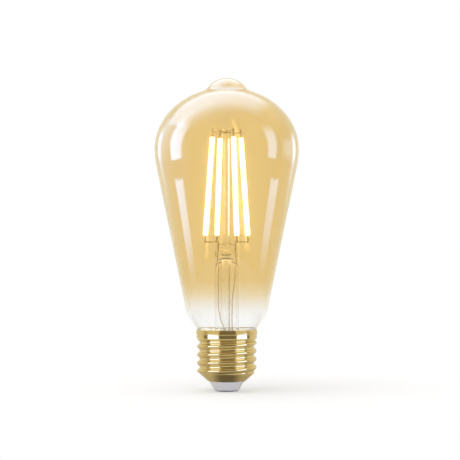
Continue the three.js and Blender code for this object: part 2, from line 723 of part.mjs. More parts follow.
// The neutral wire leaves through a hole in the sleeve, at the first root of the thread above the board.
const lowestRoot = THREAD_CREST_AT_X + THREAD_PITCH * (NEUTRAL_ANGLE / 360 + 0.5);
const rootsBelow = Math.ceil((boardTop + NEUTRAL_ABOVE_BOARD - lowestRoot) / THREAD_PITCH);
const neutralHeight = lowestRoot + THREAD_PITCH * rootsBelow;
function sleeveWithHole() {
  const radius = MAINS_WIRE_DIAMETER / 2 + CLEARANCE;
  const hole = new THREE.CylinderGeometry(radius, radius, 4 * SLEEVE_WALL, ROD_FACETS);
  hole.rotateZ(PI / 2).translate(sleeveRadius, 0, neutralHeight).rotateZ(degrees(NEUTRAL_ANGLE));
  return cutFrom(insulatingSleeve(), hole);
}

function neutralWire() {
  const start = boardRadius - NEUTRAL_FROM_EDGE;
  const bent = wire(
    MAINS_WIRE_DIAMETER,
    0.9,
    [start, 0, boardTop],
    [start, 0, neutralHeight],
    [shellRootInside - CLEARANCE, 0, neutralHeight],
  );
  return bent.rotateZ(degrees(NEUTRAL_ANGLE));
}

place("glass_envelope", glassEnvelope(), "amberGlass");
place("glass_stem", glassStem(), "clearGlass");
place("exhaust_tube", exhaustTube(), "clearGlass").position.x = EXHAUST_OFFSET;
place("centre_post", centrePost(), "clearGlass");
place("screw_shell", screwShell(), "brass");
place("base_insulator", baseInsulator(), "whitePlastic");
place("centre_contact", centreContact(), "nickel");
place("basing_cement", basingCement(), "cement");
place("insulating_sleeve", sleeveWithHole(), "sleeve");
place("driver_board", uprightRod(boardRadius, BOARD_BOTTOM, boardTop, 0, 0, RING_FACETS), "board");

// ---------------------------------------------------------------- parts on the driver board
const moduleX = LAYOUT_RADIUS - MODULE_INSET - MODULE_THICKNESS / 2;
const moduleTop = flareFoot - MODULE_BELOW_FLARE;
const moduleSize = { thickness: MODULE_THICKNESS, width: MODULE_WIDTH, height: moduleTop - boardTop };
const shieldX = moduleX - (MODULE_THICKNESS + SHIELD_SIZE.thickness) / 2;
const capacitorX = CAPACITOR_RADIUS + CAPACITOR_FROM_EDGE - LAYOUT_RADIUS;
const layoutScale = boardRadius / LAYOUT_RADIUS;
const stack = new THREE.Group();
stack.scale.set(layoutScale, layoutScale, 1);
lamp.add(stack);

// A part's block that stands on the height given as its bottom.
const block = ({ thickness, width, height }, bottom) => standingBox(thickness, width, height, bottom);
const hung = (size) => block(size, BOARD_BOTTOM - size.height);

// A drum core: two flanges and a wound middle.
function inductor() {
  const waist = INDUCTOR_RADIUS - INDUCTOR_GROOVE;
  return turned(
    [
      point(0, 0),
      point(INDUCTOR_RADIUS, 0),
      point(INDUCTOR_RADIUS, INDUCTOR_FLANGE),
      point(waist, INDUCTOR_FLANGE),
      point(waist, INDUCTOR_HEIGHT - INDUCTOR_FLANGE),
      point(INDUCTOR_RADIUS, INDUCTOR_HEIGHT - INDUCTOR_FLANGE),
      point(INDUCTOR_RADIUS, INDUCTOR_HEIGHT),
      point(0, INDUCTOR_HEIGHT),
    ],
    ROD_FACETS,
  );
}

// A resistor that stands on one of its leads.
function resistor() {
  return turned(
    [
      point(0, 0),
      point(RESISTOR_LEAD_RADIUS, 0),
      point(RESISTOR_LEAD_RADIUS, RESISTOR_LEAD_LENGTH),
      point(RESISTOR_RADIUS, RESISTOR_LEAD_LENGTH * 1.5),
      point(RESISTOR_RADIUS, RESISTOR_HEIGHT - RESISTOR_LEAD_LENGTH / 2),
      point(RESISTOR_LEAD_RADIUS, RESISTOR_HEIGHT),
      point(0, RESISTOR_HEIGHT),
    ],
    ROD_FACETS,
  );
}

// Puts a part on the board at its place in the layout.
function mountPart(name, geometry, finish, [x, y], turn = 0) {
  const part = place(name, geometry, finish, stack);
  part.position.set(x, y, 0);
  part.rotation.z = degrees(turn);
}

const smoothingCapacitor = uprightRod(CAPACITOR_RADIUS, boardTop, boardTop + CAPACITOR_HEIGHT);
mountPart("smoothing_capacitor", smoothingCapacitor, "capacitor", [capacitorX, CAPACITOR_SIDEWAYS]);
const filmCapacitor = block(FILM_CAPACITOR_SIZE, boardTop);
mountPart("film_capacitor", filmCapacitor, "film", FILM_CAPACITOR_PLACE, FILM_CAPACITOR_TURN);
mountPart("filter_inductor", inductor().translate(0, 0, boardTop), "blackResin", INDUCTOR_PLACE);
mountPart("fusible_resistor", resistor().translate(0, 0, boardTop), "resistor", RESISTOR_PLACE);
mountPart("wireless_module_board", block(moduleSize, boardTop), "board", [moduleX, 0]);
const shield = block(SHIELD_SIZE, boardTop + SHIELD_ABOVE_BOARD);
mountPart("wireless_module_shield", shield, "tinned", [shieldX, 0]);
mountPart("bridge_rectifier", hung(RECTIFIER_SIZE), "blackResin", RECTIFIER_PLACE);
mountPart("driver_chip", hung(CHIP_SIZE), "blackResin", CHIP_PLACE);

// ---------------------------------------------------------------- wires in the cap and the stem
const onBoard = ([x, y], height) => [x * layoutScale, y * layoutScale, height];
const liveStep = (BOARD_BOTTOM - CONTACT_PIN_TOP) / 2;
const liveWire = wire(
  MAINS_WIRE_DIAMETER,
  0.9,
  [0, 0, CONTACT_PIN_TOP],
  [0, 0, CONTACT_PIN_TOP + liveStep],
  onBoard(LIVE_PAD, CONTACT_PIN_TOP + liveStep),
  onBoard(LIVE_PAD, BOARD_BOTTOM),
);
place("live_wire", liveWire, "copper");
place("neutral_wire", neutralWire(), "copper");

// Inside the stem the wires keep to the bore; below its throat they spread to the board.
const throat = flareFoot + FLARE_LENGTH;
function inBore([angle, share, height]) {
  const radius = stemBore * share;
  return [radius * cos(degrees(angle)), radius * sin(degrees(angle)), throat + height];
}

function outerLead(side, turns, pad) {
  const run = turns.map(inBore);
  const [x, y] = run.at(-1);
  return wire(
    LEAD_DIAMETER,
    1.8,
    [side * leadOffset, 0, LEAD_WELD_HEIGHT],
    ...run,
    [x, y, flareFoot],
    onBoard(pad, boardTop),
  );
}

const antennaFoot = [moduleX, ANTENNA_PAD_SIDEWAYS];
const antennaRun = inBore(ANTENNA_TURN);
const antenna = wire(
  LEAD_DIAMETER,
  1.8,
  onBoard(antennaFoot, moduleTop),
  onBoard(antennaFoot, moduleTop + 1),
  onBoard(ANTENNA_IN_FLARE, flareFoot),
  antennaRun,
  [antennaRun[0], antennaRun[1], STEM_STRAIGHT_TOP - ANTENNA_BELOW_DOME],
);
const leftOuterLead = outerLead(-1, LEFT_LEAD_TURNS, LEFT_LEAD_PAD);
const rightOuterLead = outerLead(1, RIGHT_LEAD_TURNS, RIGHT_LEAD_PAD);
place("left_outer_lead", leftOuterLead, "copper");
place("right_outer_lead", rightOuterLead, "copper");
place("antenna_wire", antenna, "copper");

export default lamp;
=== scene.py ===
# %% [markdown]
# # A filament lamp in amber glass
# This notebook dresses the construction model of a lamp for its portrait: a pear-shaped envelope with an
# amber lacquer that fades to clear glass, four glowing LED filaments on a glass stem, and a brass screw cap.
# Lengths are in millimetres, and MM turns them into the metres that the scene is in.
# The construction model is loaded first and never moved. Each fine piece is then made in its place.

# %% Load the construction model
from math import acos, asin, atan, atan2, cos, degrees, hypot, pi, radians, sin, tan

import bmesh
import bpy
from mathutils import Matrix, Vector


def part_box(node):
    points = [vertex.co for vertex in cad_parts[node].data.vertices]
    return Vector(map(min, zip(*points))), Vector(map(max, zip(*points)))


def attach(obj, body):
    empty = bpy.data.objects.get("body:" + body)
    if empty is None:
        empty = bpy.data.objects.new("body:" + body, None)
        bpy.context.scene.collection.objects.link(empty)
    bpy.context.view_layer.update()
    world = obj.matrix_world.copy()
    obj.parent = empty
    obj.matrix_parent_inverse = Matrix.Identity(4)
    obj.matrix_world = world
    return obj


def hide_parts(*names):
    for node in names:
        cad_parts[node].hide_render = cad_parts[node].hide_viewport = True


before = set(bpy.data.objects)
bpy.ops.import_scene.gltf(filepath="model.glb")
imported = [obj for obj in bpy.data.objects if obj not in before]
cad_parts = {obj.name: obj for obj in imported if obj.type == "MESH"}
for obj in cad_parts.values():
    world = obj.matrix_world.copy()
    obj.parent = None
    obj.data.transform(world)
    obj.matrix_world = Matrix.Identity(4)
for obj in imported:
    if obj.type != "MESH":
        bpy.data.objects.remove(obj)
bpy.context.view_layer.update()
MM = 0.001


# %% [markdown]
# ## Colours and nodes
# A colour is written as a designer writes it, as an sRGB hex value, and the renderer wants linear light, so
# one function turns one into the other. A second function adds a shader node with its values and its links,
# which keeps each material to a few lines that say what the finish is.

# %% Two helpers for materials
def colour(hex_value):
    """An sRGB hex colour as linear red, green and blue, with full alpha."""
    parts = [int(hex_value[i : i + 2], 16) / 255 for i in (1, 3, 5)]
    return [p / 12.92 if p <= 0.04045 else ((p + 0.055) / 1.055) ** 2.4 for p in parts] + [1.0]


def add(tree, kind, inputs=None, **settings):
    """Adds a node. A value in inputs sets a socket, and another node's output is linked to it."""
    node = tree.nodes.new("ShaderNode" + kind)
    for name, value in settings.items():
        setattr(node, name, value)
    for name, value in (inputs or {}).items():
        if isinstance(value, bpy.types.NodeSocket):
            tree.links.new(value, node.inputs[name])
        else:
            node.inputs[name].default_value = value
    return node


def blank_material(name):
    """An empty material, its node tree, and the Object coordinates that its patterns read."""
    material = bpy.data.materials.new(name)
    material.use_nodes = True
    tree = material.node_tree
    tree.nodes.clear()
    return material, tree, add(tree, "TexCoord").outputs["Object"]


def finish_material(material, tree, shader, volume=None):
    """Links the shader, and the volume if there is one, to the material's output."""
    output = add(tree, "OutputMaterial", {"Surface": shader.outputs[0]})
    if volume:
        tree.links.new(volume.outputs[0], output.inputs["Volume"])
    print("material:", material.name)
    return material


def per_mm(size):
    """The scale of a pattern whose grains are about this many millimetres across."""
    return 1 / (size * MM)


# %% [markdown]
# ## Shaping helpers
# Nearly every piece of a lamp is a solid of revolution, because glass is blown while it turns and brass is
# spun or drawn over a round die. So one helper turns an outline about the Z axis with the Spin operator, and
# another turns an arc into a few points of such an outline. Outlines are pairs of radius and height in mm.
# Where the turned surface meets itself its points are merged, if they are closer than SEAM.

# %% Outlines and spinning
SEAM = 0.0005


def arc(centre, radius, start, end, steps, squeeze=1.0):
    """Points on an arc, from one angle to another in degrees; squeeze flattens it into an ellipse."""
    angles = [radians(start + (end - start) * i / steps) for i in range(steps + 1)]
    return [(centre[0] + radius * cos(a), centre[1] + radius * squeeze * sin(a)) for a in angles]


def bend(start, corner, end, steps):
    """Points on a curve that leaves start towards corner and arrives at end from it."""
    points = []
    for i in range(steps + 1):
        t = i / steps
        weights = ((1 - t) ** 2, 2 * t * (1 - t), t * t)
        points.append(tuple(sum(w * p[k] for w, p in zip(weights, (start, corner, end))) for k in (0, 1)))
    return points


def spin(outline, steps=96, ring=False):
    """Turns an outline about the Z axis into a surface; a ring's outline is closed on itself."""
    bm = bmesh.new()
    points = [bm.verts.new((r * MM, 0, z * MM)) for r, z in outline]
    following = points[1:] + points[:1] if ring else points[1:]
    edges = [bm.edges.new(pair) for pair in zip(points, following)]
    bmesh.ops.spin(
        bm, geom=points + edges, cent=(0, 0, 0), axis=(0, 0, 1), angle=2 * pi, steps=steps, use_merge=True
    )
    bmesh.ops.remove_doubles(bm, verts=bm.verts, dist=SEAM * MM)
    bmesh.ops.recalc_face_normals(bm, faces=bm.faces)
    return bm


# %% [markdown]
# A mesh becomes a piece when it has its shading, its finish and its place among the others. Faces are shaded
# smooth, and an edge that turns by more than 40 degrees stays crisp. Then the piece rides on the lamp's one
# body, takes the place of its nodes in the construction model, and gets its material.

# %% Finish a piece
CRISP_ANGLE = 40


def piece(name, bm, material, replaced=()):
    """Turns a mesh into a named piece of the lamp."""
    for face in bm.faces:
        face.smooth = True
    for edge in bm.edges:
        edge.smooth = not (edge.is_manifold and edge.calc_face_angle(0) > radians(CRISP_ANGLE))
    mesh = bpy.data.meshes.new(name)
    bm.to_mesh(mesh)
    bm.free()
    mesh.materials.append(material)
    made = bpy.data.objects.new(name, mesh)
    bpy.context.scene.collection.objects.link(made)
    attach(made, "root")
    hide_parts(*replaced)
    print("piece:", name, len(mesh.polygons), "faces")
    return made


# %% [markdown]
# ## The camera
# The lamp is seen straight from the side, from a little over half its height and far enough away that its
# lines hardly converge. A long lens at 0.8 m gives that, and the view is as wide as the named width there.

# %% Place the camera
CAMERA_PLACE = (1.44, -800, 71.5)
VIEW_WIDTH = 204.4
camera = bpy.data.objects.new("camera", bpy.data.cameras.new("camera"))
bpy.context.scene.collection.objects.link(camera)
bpy.context.scene.camera = camera
camera.location = Vector(CAMERA_PLACE) * MM
camera.rotation_euler = (pi / 2, 0, 0)
camera.data.lens = camera.data.sensor_width * -CAMERA_PLACE[1] / VIEW_WIDTH
print("lens in mm:", round(camera.data.lens, 1))


# %% [markdown]
# ## Amber glass
# The envelope is soda-lime glass, about 0.8 mm thick, with a thin amber lacquer that is sprayed on and thins
# out towards the neck. Glass of this kind has an IOR of 1.5 and mirrors about 4% at each face, so its colour
# comes from what passes through it. The tint is that of one wall, and the eye looks through two of them. The
# lacquer is never perfectly even, so a broad soft noise moves the fade up and down by a few millimetres. A
# small share of the lacquered glass is hazy, which lays a soft veil round each reflection.

# %% Amber glass
AMBER_ONE_WALL = "#f3e0b2"
CLEAR_ONE_WALL = "#fbfcfe"
GLASS_IOR = 1.5
FADE_FOOT, FADE_TOP = 31.0, 51.0
LACQUER_CLOUD, CLOUD_SHIFT = 26.0, 6.0
HAZE_SHARE, HAZE_ROUGHNESS = 0.055, 0.42


def amber_glass():
    """Clear glass and a share of hazy glass, both tinted by a fade that follows the height."""
    material, tree, place = blank_material("soda_lime_glass_with_sprayed_amber_lacquer")
    height = add(tree, "SeparateXYZ", {"Vector": place}).outputs["Z"]
    cloud = add(tree, "TexNoise", {"Vector": place, "Scale": per_mm(LACQUER_CLOUD), "Detail": 2.0})
    shift = {0: cloud.outputs["Fac"], 1: CLOUD_SHIFT * MM, 2: height}
    drift = add(tree, "Math", shift, operation="MULTIPLY_ADD")
    low, high = ((mark + CLOUD_SHIFT / 2) * MM for mark in (FADE_FOOT, FADE_TOP))
    fade = add(
        tree,
        "MapRange",
        {"Value": drift.outputs[0], "From Min": low, "From Max": high},
        interpolation_type="SMOOTHSTEP",
    )
    ends = {6: colour(CLEAR_ONE_WALL), 7: colour(AMBER_ONE_WALL)}
    tint = add(tree, "Mix", {0: fade.outputs[0], **ends}, data_type="RGBA")
    values = {"Base Color": tint.outputs[2], "IOR": GLASS_IOR, "Transmission Weight": 1.0}
    clear = add(tree, "BsdfPrincipled", {**values, "Roughness": 0.0})
    hazy = add(tree, "BsdfPrincipled", {**values, "Roughness": HAZE_ROUGHNESS})
    share = add(tree, "Math", {0: fade.outputs[0], 1: HAZE_SHARE}, operation="MULTIPLY")
    lacquered = add(tree, "MixShader", {0: share.outputs[0], 1: clear.outputs[0], 2: hazy.outputs[0]})
    return finish_material(material, tree, lacquered)


# %% [markdown]
# ## Clear glass
# The stem, its exhaust tube and the post are a softer lead-free glass. Thick clear glass has a faint grey
# cast that only shows where the eye looks along a wall. A thin absorption in the body of the glass gives that
# cast. A Layer Weight paints shade into the colour of the glass where its surface turns away from the eye,
# which draws painted dark lines along the edges of a tube. Drawn glass is faintly rippled, and a bump of 3 mm
# waves shows that.

# %% Clear glass
# The Facing values where the painted shade along the edges begins and is full, and the grey painted there.
EDGE_SHADE_FROM, EDGE_SHADE_FULL = 0.55, 0.97
FACE_CLEAR, PAINTED_EDGE_GREY, BODY_GREY = "#fefefd", "#8a8375", "#b9b2a4"
RIPPLE = 3.0


def clear_glass(name, density):
    """Clear glass. Density is how strongly its body greys the light that crosses it, per metre."""
    material, tree, place = blank_material(name)
    ripple = add(tree, "TexNoise", {"Vector": place, "Scale": per_mm(RIPPLE), "Detail": 1.0})
    bump = add(tree, "Bump", {"Height": ripple.outputs["Fac"], "Strength": 0.05, "Distance": 0.2 * MM})
    facing = add(tree, "LayerWeight").outputs["Facing"]
    # Painted shade: the glass is greyed where its surface turns away from the eye.
    edge = add(
        tree,
        "MapRange",
        {"Value": facing, "From Min": EDGE_SHADE_FROM, "From Max": EDGE_SHADE_FULL},
        interpolation_type="SMOOTHSTEP",
    )
    tint = add(
        tree, "Mix", {0: edge.outputs[0], 6: colour(FACE_CLEAR), 7: colour(PAINTED_EDGE_GREY)}, data_type="RGBA"
    )
    glass = add(
        tree,
        "BsdfPrincipled",
        {
            "Base Color": tint.outputs[2],
            "Roughness": 0.0,
            "IOR": GLASS_IOR,
            "Transmission Weight": 1.0,
            "Normal": bump.outputs[0],
        },
    )
    body = add(tree, "VolumeAbsorption", {"Color": colour(BODY_GREY), "Density": density})
    return finish_material(material, tree, glass, body)


# %% [markdown]
# ## The metals
# The screw shell is drawn and thread-rolled brass, polished and lacquered, so it is nearly a mirror: its look
# is made by what stands round it. Rolling leaves hair-fine lines round the shell, drawn here as a noise that
# is stretched along the circumference. Handling dulls a metal in clouds, so its colour and its gloss vary a
# little. Wires and tabs are nickel-plated, and the wires that go down into the cap are copper.

# %% Metals
WEAR_CLOUD, DULLED = 4.0, 0.9
LEAST_ROUGH, MOST_ROUGH = 0.8, 1.3
LINE_DEPTH, LINE_RELIEF = 0.02, 0.1


def metal(name, hex_value, roughness, line, across):
    """A metal with drawing lines: line is their spacing up the piece, across their length, both in mm."""
    material, tree, place = blank_material(name)
    stretch = add(tree, "Mapping", {"Vector": place, "Scale": (1 / across, 1 / across, 1 / line)})
    lines = add(tree, "TexNoise", {"Vector": stretch.outputs[0], "Scale": 1 / MM, "Detail": 3.0})
    cloud = add(tree, "TexNoise", {"Vector": place, "Scale": per_mm(WEAR_CLOUD), "Detail": 3.0})
    gloss = add(
        tree,
        "MapRange",
        {
            "Value": cloud.outputs["Fac"],
            "From Min": 0.3,
            "From Max": 0.7,
            "To Min": roughness * LEAST_ROUGH,
            "To Max": roughness * MOST_ROUGH,
        },
    )
    worn = [c * DULLED for c in colour(hex_value)[:3]] + [1.0]
    shade = add(tree, "Mix", {0: cloud.outputs["Fac"], 6: colour(hex_value), 7: worn}, data_type="RGBA")
    relief = {"Height": lines.outputs["Fac"], "Strength": LINE_RELIEF, "Distance": LINE_DEPTH * MM}
    bump = add(tree, "Bump", relief)
    surface = add(
        tree,
        "BsdfPrincipled",
        {
            "Base Color": shade.outputs[2],
            "Metallic": 1.0,
            "Roughness": gloss.outputs[0],
            "Normal": bump.outputs[0],
        },
    )
    return finish_material(material, tree, surface)


# %% [markdown]
# ## Plastics, cement, board and resins
# These are matt or satin insulators. Each gets a base colour that drifts a little, a roughness, and a fine
# relief whose grain is a real size: moulded plastic is nearly smooth, cement is grainy, and a circuit board
# shows the weave of its glass cloth under the green resin.

# %% Insulating materials
CLOUD_GRAINS, GRAIN_DEPTH, GLOSS_DRIFT = 6, 0.2, 0.06


def insulator(name, hex_value, second_hex, roughness, grain, relief, coat=0.0):
    """A non-metal whose colour drifts between two hex values, with a relief of the given grain in mm."""
    material, tree, place = blank_material(name)
    cloud = add(tree, "TexNoise", {"Vector": place, "Scale": per_mm(grain * CLOUD_GRAINS), "Detail": 4.0})
    grains = add(tree, "TexNoise", {"Vector": place, "Scale": per_mm(grain), "Detail": 2.0})
    shade = add(
        tree, "Mix", {0: cloud.outputs["Fac"], 6: colour(hex_value), 7: colour(second_hex)}, data_type="RGBA"
    )
    least, most = roughness - GLOSS_DRIFT, roughness + GLOSS_DRIFT
    gloss = add(tree, "MapRange", {"Value": grains.outputs["Fac"], "To Min": least, "To Max": most})
    depth = grain * GRAIN_DEPTH * MM
    bump = add(tree, "Bump", {"Height": grains.outputs["Fac"], "Strength": relief, "Distance": depth})
    surface = add(
        tree,
        "BsdfPrincipled",
        {
            "Base Color": shade.outputs[2],
            "Roughness": gloss.outputs[0],
            "Normal": bump.outputs[0],
            "Coat Weight": coat,
        },
    )
    return finish_material(material, tree, surface)


# %% [markdown]
# ## Phosphor
# A filament is a strip of small blue LEDs under a yellow phosphor silicone that turns most of the blue into
# warm light. Lit, it is far brighter than anything near it, so it shows as white with a warm rim. Clumps of
# phosphor make the glow vary slightly along the strip. They are drawn 0.9 mm across, which is coarser than
# real ones, because finer ones wouldn't show.

# %% Phosphor
FILAMENT_GLOW = 4.5
GLOW_HIGH, GLOW_LOW, PHOSPHOR_YELLOW = "#fff4e2", "#ffeccf", "#f3cf5a"
PHOSPHOR_GRAIN = 0.9


def phosphor():
    """Yellow silicone that glows a warm white."""
    material, tree, place = blank_material("phosphor_silicone_lit")
    grains = add(tree, "TexNoise", {"Vector": place, "Scale": per_mm(PHOSPHOR_GRAIN), "Detail": 2.0})
    warm = add(
        tree, "Mix", {0: grains.outputs["Fac"], 6: colour(GLOW_HIGH), 7: colour(GLOW_LOW)}, data_type="RGBA"
    )
    bump = add(tree, "Bump", {"Height": grains.outputs["Fac"], "Strength": 0.2, "Distance": 0.05 * MM})
    surface = add(
        tree,
        "BsdfPrincipled",
        {
            "Base Color": colour(PHOSPHOR_YELLOW),
            "Roughness": 0.45,
            "Normal": bump.outputs[0],
            "Emission Color": warm.outputs[2],
            "Emission Strength": FILAMENT_GLOW,
        },
    )
    return finish_material(material, tree, surface)


# %% [markdown]
# ## One of each finish
# Each finish is made once and shared by the pieces that have it. Brass is the most polished of the metals, a
# warm mirror. Nickel plate and tinned steel are softer grey ones, and copper sheath is a pale rose. The white
# cone is satin, cement and ceramic are matt and grainy, and resins and enamels have a wet-looking coat.

# %% Make one of each finish
AMBER = amber_glass()
STEM_GLASS = clear_glass("soft_clear_glass_of_the_stem", 8.0)
POST_GLASS = clear_glass("drawn_clear_glass_rod", 12.0)
BRASS = metal("drawn_and_rolled_brass", "#e7d5a2", 0.09, line=0.12, across=9.0)
NICKEL = metal("nickel_plated_wire", "#c4b79f", 0.28, line=1.5, across=0.2)
CONTACT_METAL = metal("stamped_nickel_silver", "#b9b6ae", 0.25, line=2.0, across=0.3)
TINNED = metal("tinned_sheet_steel", "#c4c6c8", 0.3, line=1.0, across=0.3)
COPPER = metal("copper_sheathed_wire", "#e2d3be", 0.3, line=1.0, across=0.2)
WHITE = insulator("moulded_white_thermoset", "#f3f3fa", "#eeeef7", 0.34, grain=0.35, relief=0.08, coat=0.15)
CEMENT = insulator("basing_cement", "#efebe2", "#e4dfd3", 0.9, grain=0.3, relief=0.8)
SLEEVE = insulator("moulded_insulating_sleeve", "#e6e4dd", "#dedbd2", 0.5, grain=0.4, relief=0.15)
BOARD = insulator("green_solder_mask_board", "#2f6b45", "#295f3d", 0.35, grain=0.25, relief=0.3, coat=0.3)
RESIN = insulator("black_moulding_resin", "#26262a", "#2d2d31", 0.5, grain=0.15, relief=0.3)
CAN = insulator("printed_capacitor_sleeve", "#2b3350", "#262d47", 0.35, grain=0.4, relief=0.1, coat=0.3)
FILM = insulator("dipped_film_capacitor_lacquer", "#b5452f", "#a63f2b", 0.3, grain=0.8, relief=0.3, coat=0.5)
ENAMEL = insulator("resistor_enamel", "#5f8fb0", "#56839f", 0.3, grain=0.3, relief=0.2, coat=0.4)
CERAMIC = insulator("sintered_ceramic_strip", "#eeeeea", "#e4e4de", 0.6, grain=0.1, relief=0.3)
PHOSPHOR = phosphor()

# %% [markdown]
# ## The envelope
# A ribbon machine blows the envelope into a mould while it turns: a straight flank runs from a shoulder just
# above the cap up to a round belly, a flat dome closes it, and a rounded tip stands on the dome. At the cap
# the glass narrows like a funnel into the neck. The outline is drawn once, as arcs and curves with one
# straight line that is a tangent to the belly's arc, and spun. Then Solidify gives the surface its wall,
# inwards, as blown glass has one.

# %% Outline of the envelope
GLASS_WALL = 0.8
foot, top = (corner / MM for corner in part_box("glass_envelope"))
NECK_FOOT, LAMP_TOP, BELLY_RADIUS = foot.z, top.z, top.x
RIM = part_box("screw_shell")[1].z / MM
NECK_RADIUS = 11.2
FUNNEL_DEPTH, FUNNEL_RADIUS, FUNNEL_TOP = 4.4, 12.75, RIM + 0.1
SHOULDER = (18.35, RIM + 10.2)
SHOULDER_ARC, SHOULDER_TURN = 14.0, 22.0
BELLY_ARC = 38.0
DOME_RISE, TIP_RISE = 27.2, 4.3
TIP_RADIUS, TIP_FOOT_ANGLE, TIP_FILLET = 10.4, 38.0, 1.6
LIP_FLARE, LIP_RISE = 0.85, 0.7
BELLY_HEIGHT = LAMP_TOP - TIP_RISE - DOME_RISE


def flank_lean():
    """How far the straight flank leans from upright, in degrees. It is a tangent to the belly's arc."""
    reach = (BELLY_RADIUS - BELLY_ARC - SHOULDER[0], BELLY_HEIGHT - SHOULDER[1])
    slope = atan2(reach[1], reach[0]) - asin(BELLY_ARC / hypot(*reach))
    return 90 - degrees(slope)


def funnel():
    """The wall between the narrow neck and the rim of the cap."""
    low = RIM - FUNNEL_DEPTH
    return bend((NECK_RADIUS, low), (NECK_RADIUS + 0.15, low + 2.3), (FUNNEL_RADIUS, FUNNEL_TOP), 8)


def envelope_outline():
    """The glass from the foot of the neck up to the middle of the tip."""
    lean = flank_lean()
    centre = (
        SHOULDER[0] - SHOULDER_ARC * cos(radians(lean)),
        SHOULDER[1] + SHOULDER_ARC * sin(radians(lean)),
    )
    neck = [(NECK_RADIUS, NECK_FOOT), (NECK_RADIUS, RIM - FUNNEL_DEPTH - 1.0)]
    shoulder = arc(centre, SHOULDER_ARC, -lean - SHOULDER_TURN, -lean, 12)
    lip_corner = (FUNNEL_RADIUS + LIP_FLARE, FUNNEL_TOP + LIP_RISE)
    lip = bend((FUNNEL_RADIUS, FUNNEL_TOP), lip_corner, shoulder[0], 6)
    belly = arc((BELLY_RADIUS - BELLY_ARC, BELLY_HEIGHT), BELLY_ARC, -lean, 0, 8)
    dome_end = degrees(acos((TIP_RADIUS * cos(radians(TIP_FOOT_ANGLE)) + TIP_FILLET) / BELLY_RADIUS))
    dome = arc((0, BELLY_HEIGHT), BELLY_RADIUS, 0, dome_end, 26, squeeze=DOME_RISE / BELLY_RADIUS)
    tip = arc((0, LAMP_TOP - TIP_RADIUS), TIP_RADIUS, TIP_FOOT_ANGLE, 90, 12)
    tip[-1] = (0, LAMP_TOP)
    # The valley at the foot of the tip turns from the dome's slope to the tip's.
    ease = bend(dome[-2], (dome[-1][0] - 0.7, dome[-1][1] + 0.2), tip[1], 5)
    return neck + funnel() + lip[1:] + shoulder[1:-1] + belly + dome[1:-2] + ease + tip[2:]


# %% Spin the envelope
bm = spin(envelope_outline(), steps=128)
bmesh.ops.solidify(bm, geom=bm.faces, thickness=GLASS_WALL * MM)
piece("blown_glass_envelope", bm, AMBER, ["glass_envelope"])
print("envelope outline points:", len(envelope_outline()), "lean:", round(flank_lean(), 1))

# %% [markdown]
# ## The stem
# The stem starts as a glass tube whose foot is flared out to meet the neck. Its other end is heated and
# pinched flat round the wires: that is the press, and it makes the lamp gas-tight. The tube is lofted ring by
# ring from round to flat. Each ring is an oval whose corners get squarer towards the press, the way a pinched
# tube does. The bore ends in a dome below the press, and the press keeps a bubble, where air was blown
# through it to open the exhaust tube.

# %% Sizes of the stem
STEM_RADIUS, STEM_WALL = 5.3, 0.8
FLARE_LENGTH, FLARE_RIM = 5.3, 1.4
FLARE_FOOT = NECK_FOOT - GLASS_WALL
PRESS_TOP = 65.5
# Half width, half thickness, squareness and height of each ring of the stem above its straight tube.
OUTER_RINGS = [
    (5.3, 5.3, 2.0, 52.0),
    (5.2, 5.05, 2.0, 54.4),
    (4.9, 4.4, 2.1, 56.2),
    (4.45, 3.3, 2.3, 57.6),
    (4.35, 2.4, 2.6, 58.6),
    (4.8, 2.0, 3.0, 59.5),
    (5.1, 1.9, 3.4, 60.5),
    (5.2, 1.9, 3.6, 62.0),
    (5.15, 1.9, 3.4, 63.4),
    (4.9, 1.85, 3.0, 64.5),
    (4.2, 1.7, 2.6, 65.1),
    (2.6, 1.5, 2.2, 65.45),
    (1.4, 1.1, 2.0, 65.5),
]
BORE_RINGS = [
    (4.5, 4.5, 2.0, 52.0),
    (4.4, 4.25, 2.0, 54.4),
    (4.0, 3.5, 2.1, 56.0),
    (3.2, 2.3, 2.2, 57.1),
    (1.8, 1.2, 2.1, 57.7),
    (0.6, 0.5, 2.0, 57.9),
]
BUBBLE_SIZE, BUBBLE_PLACE = (2.2, 1.0, 1.5), (-0.3, 0, 61.3)

# %% Oval rings, lofting and the flare
def set_oval(ring, half_width, half_depth, square, height):
    """Puts a ring of vertices on an oval; squareness 2 is an ellipse and more is squarer."""
    for vertex in ring:
        angle = atan2(vertex.co.y, vertex.co.x)
        c, s = cos(angle), sin(angle)
        size = (abs(c) ** square + abs(s) ** square) ** (-1 / square)
        vertex.co = (half_width * size * c * MM, half_depth * size * s * MM, height * MM)


def loft(bm, edges, rings):
    """Extrudes an open rim of edges through the rings, and closes the last one with a face."""
    for ring in rings:
        made = bmesh.ops.extrude_edge_only(bm, edges=edges)["geom"]
        edges = [g for g in made if isinstance(g, bmesh.types.BMEdge)]
        set_oval([g for g in made if isinstance(g, bmesh.types.BMVert)], *ring)
    bmesh.ops.contextual_create(bm, geom=edges)


def flare(tube_radius, rim_radius, height):
    """A quarter of an ellipse, from the rim up into the tube."""
    steps = 10
    angles = [radians(90 * i / steps) for i in range(steps + 1)]
    radii = [rim_radius - (rim_radius - tube_radius) * sin(a) for a in angles]
    return [(radius, height + FLARE_LENGTH * (1 - cos(a))) for radius, a in zip(radii, angles)]


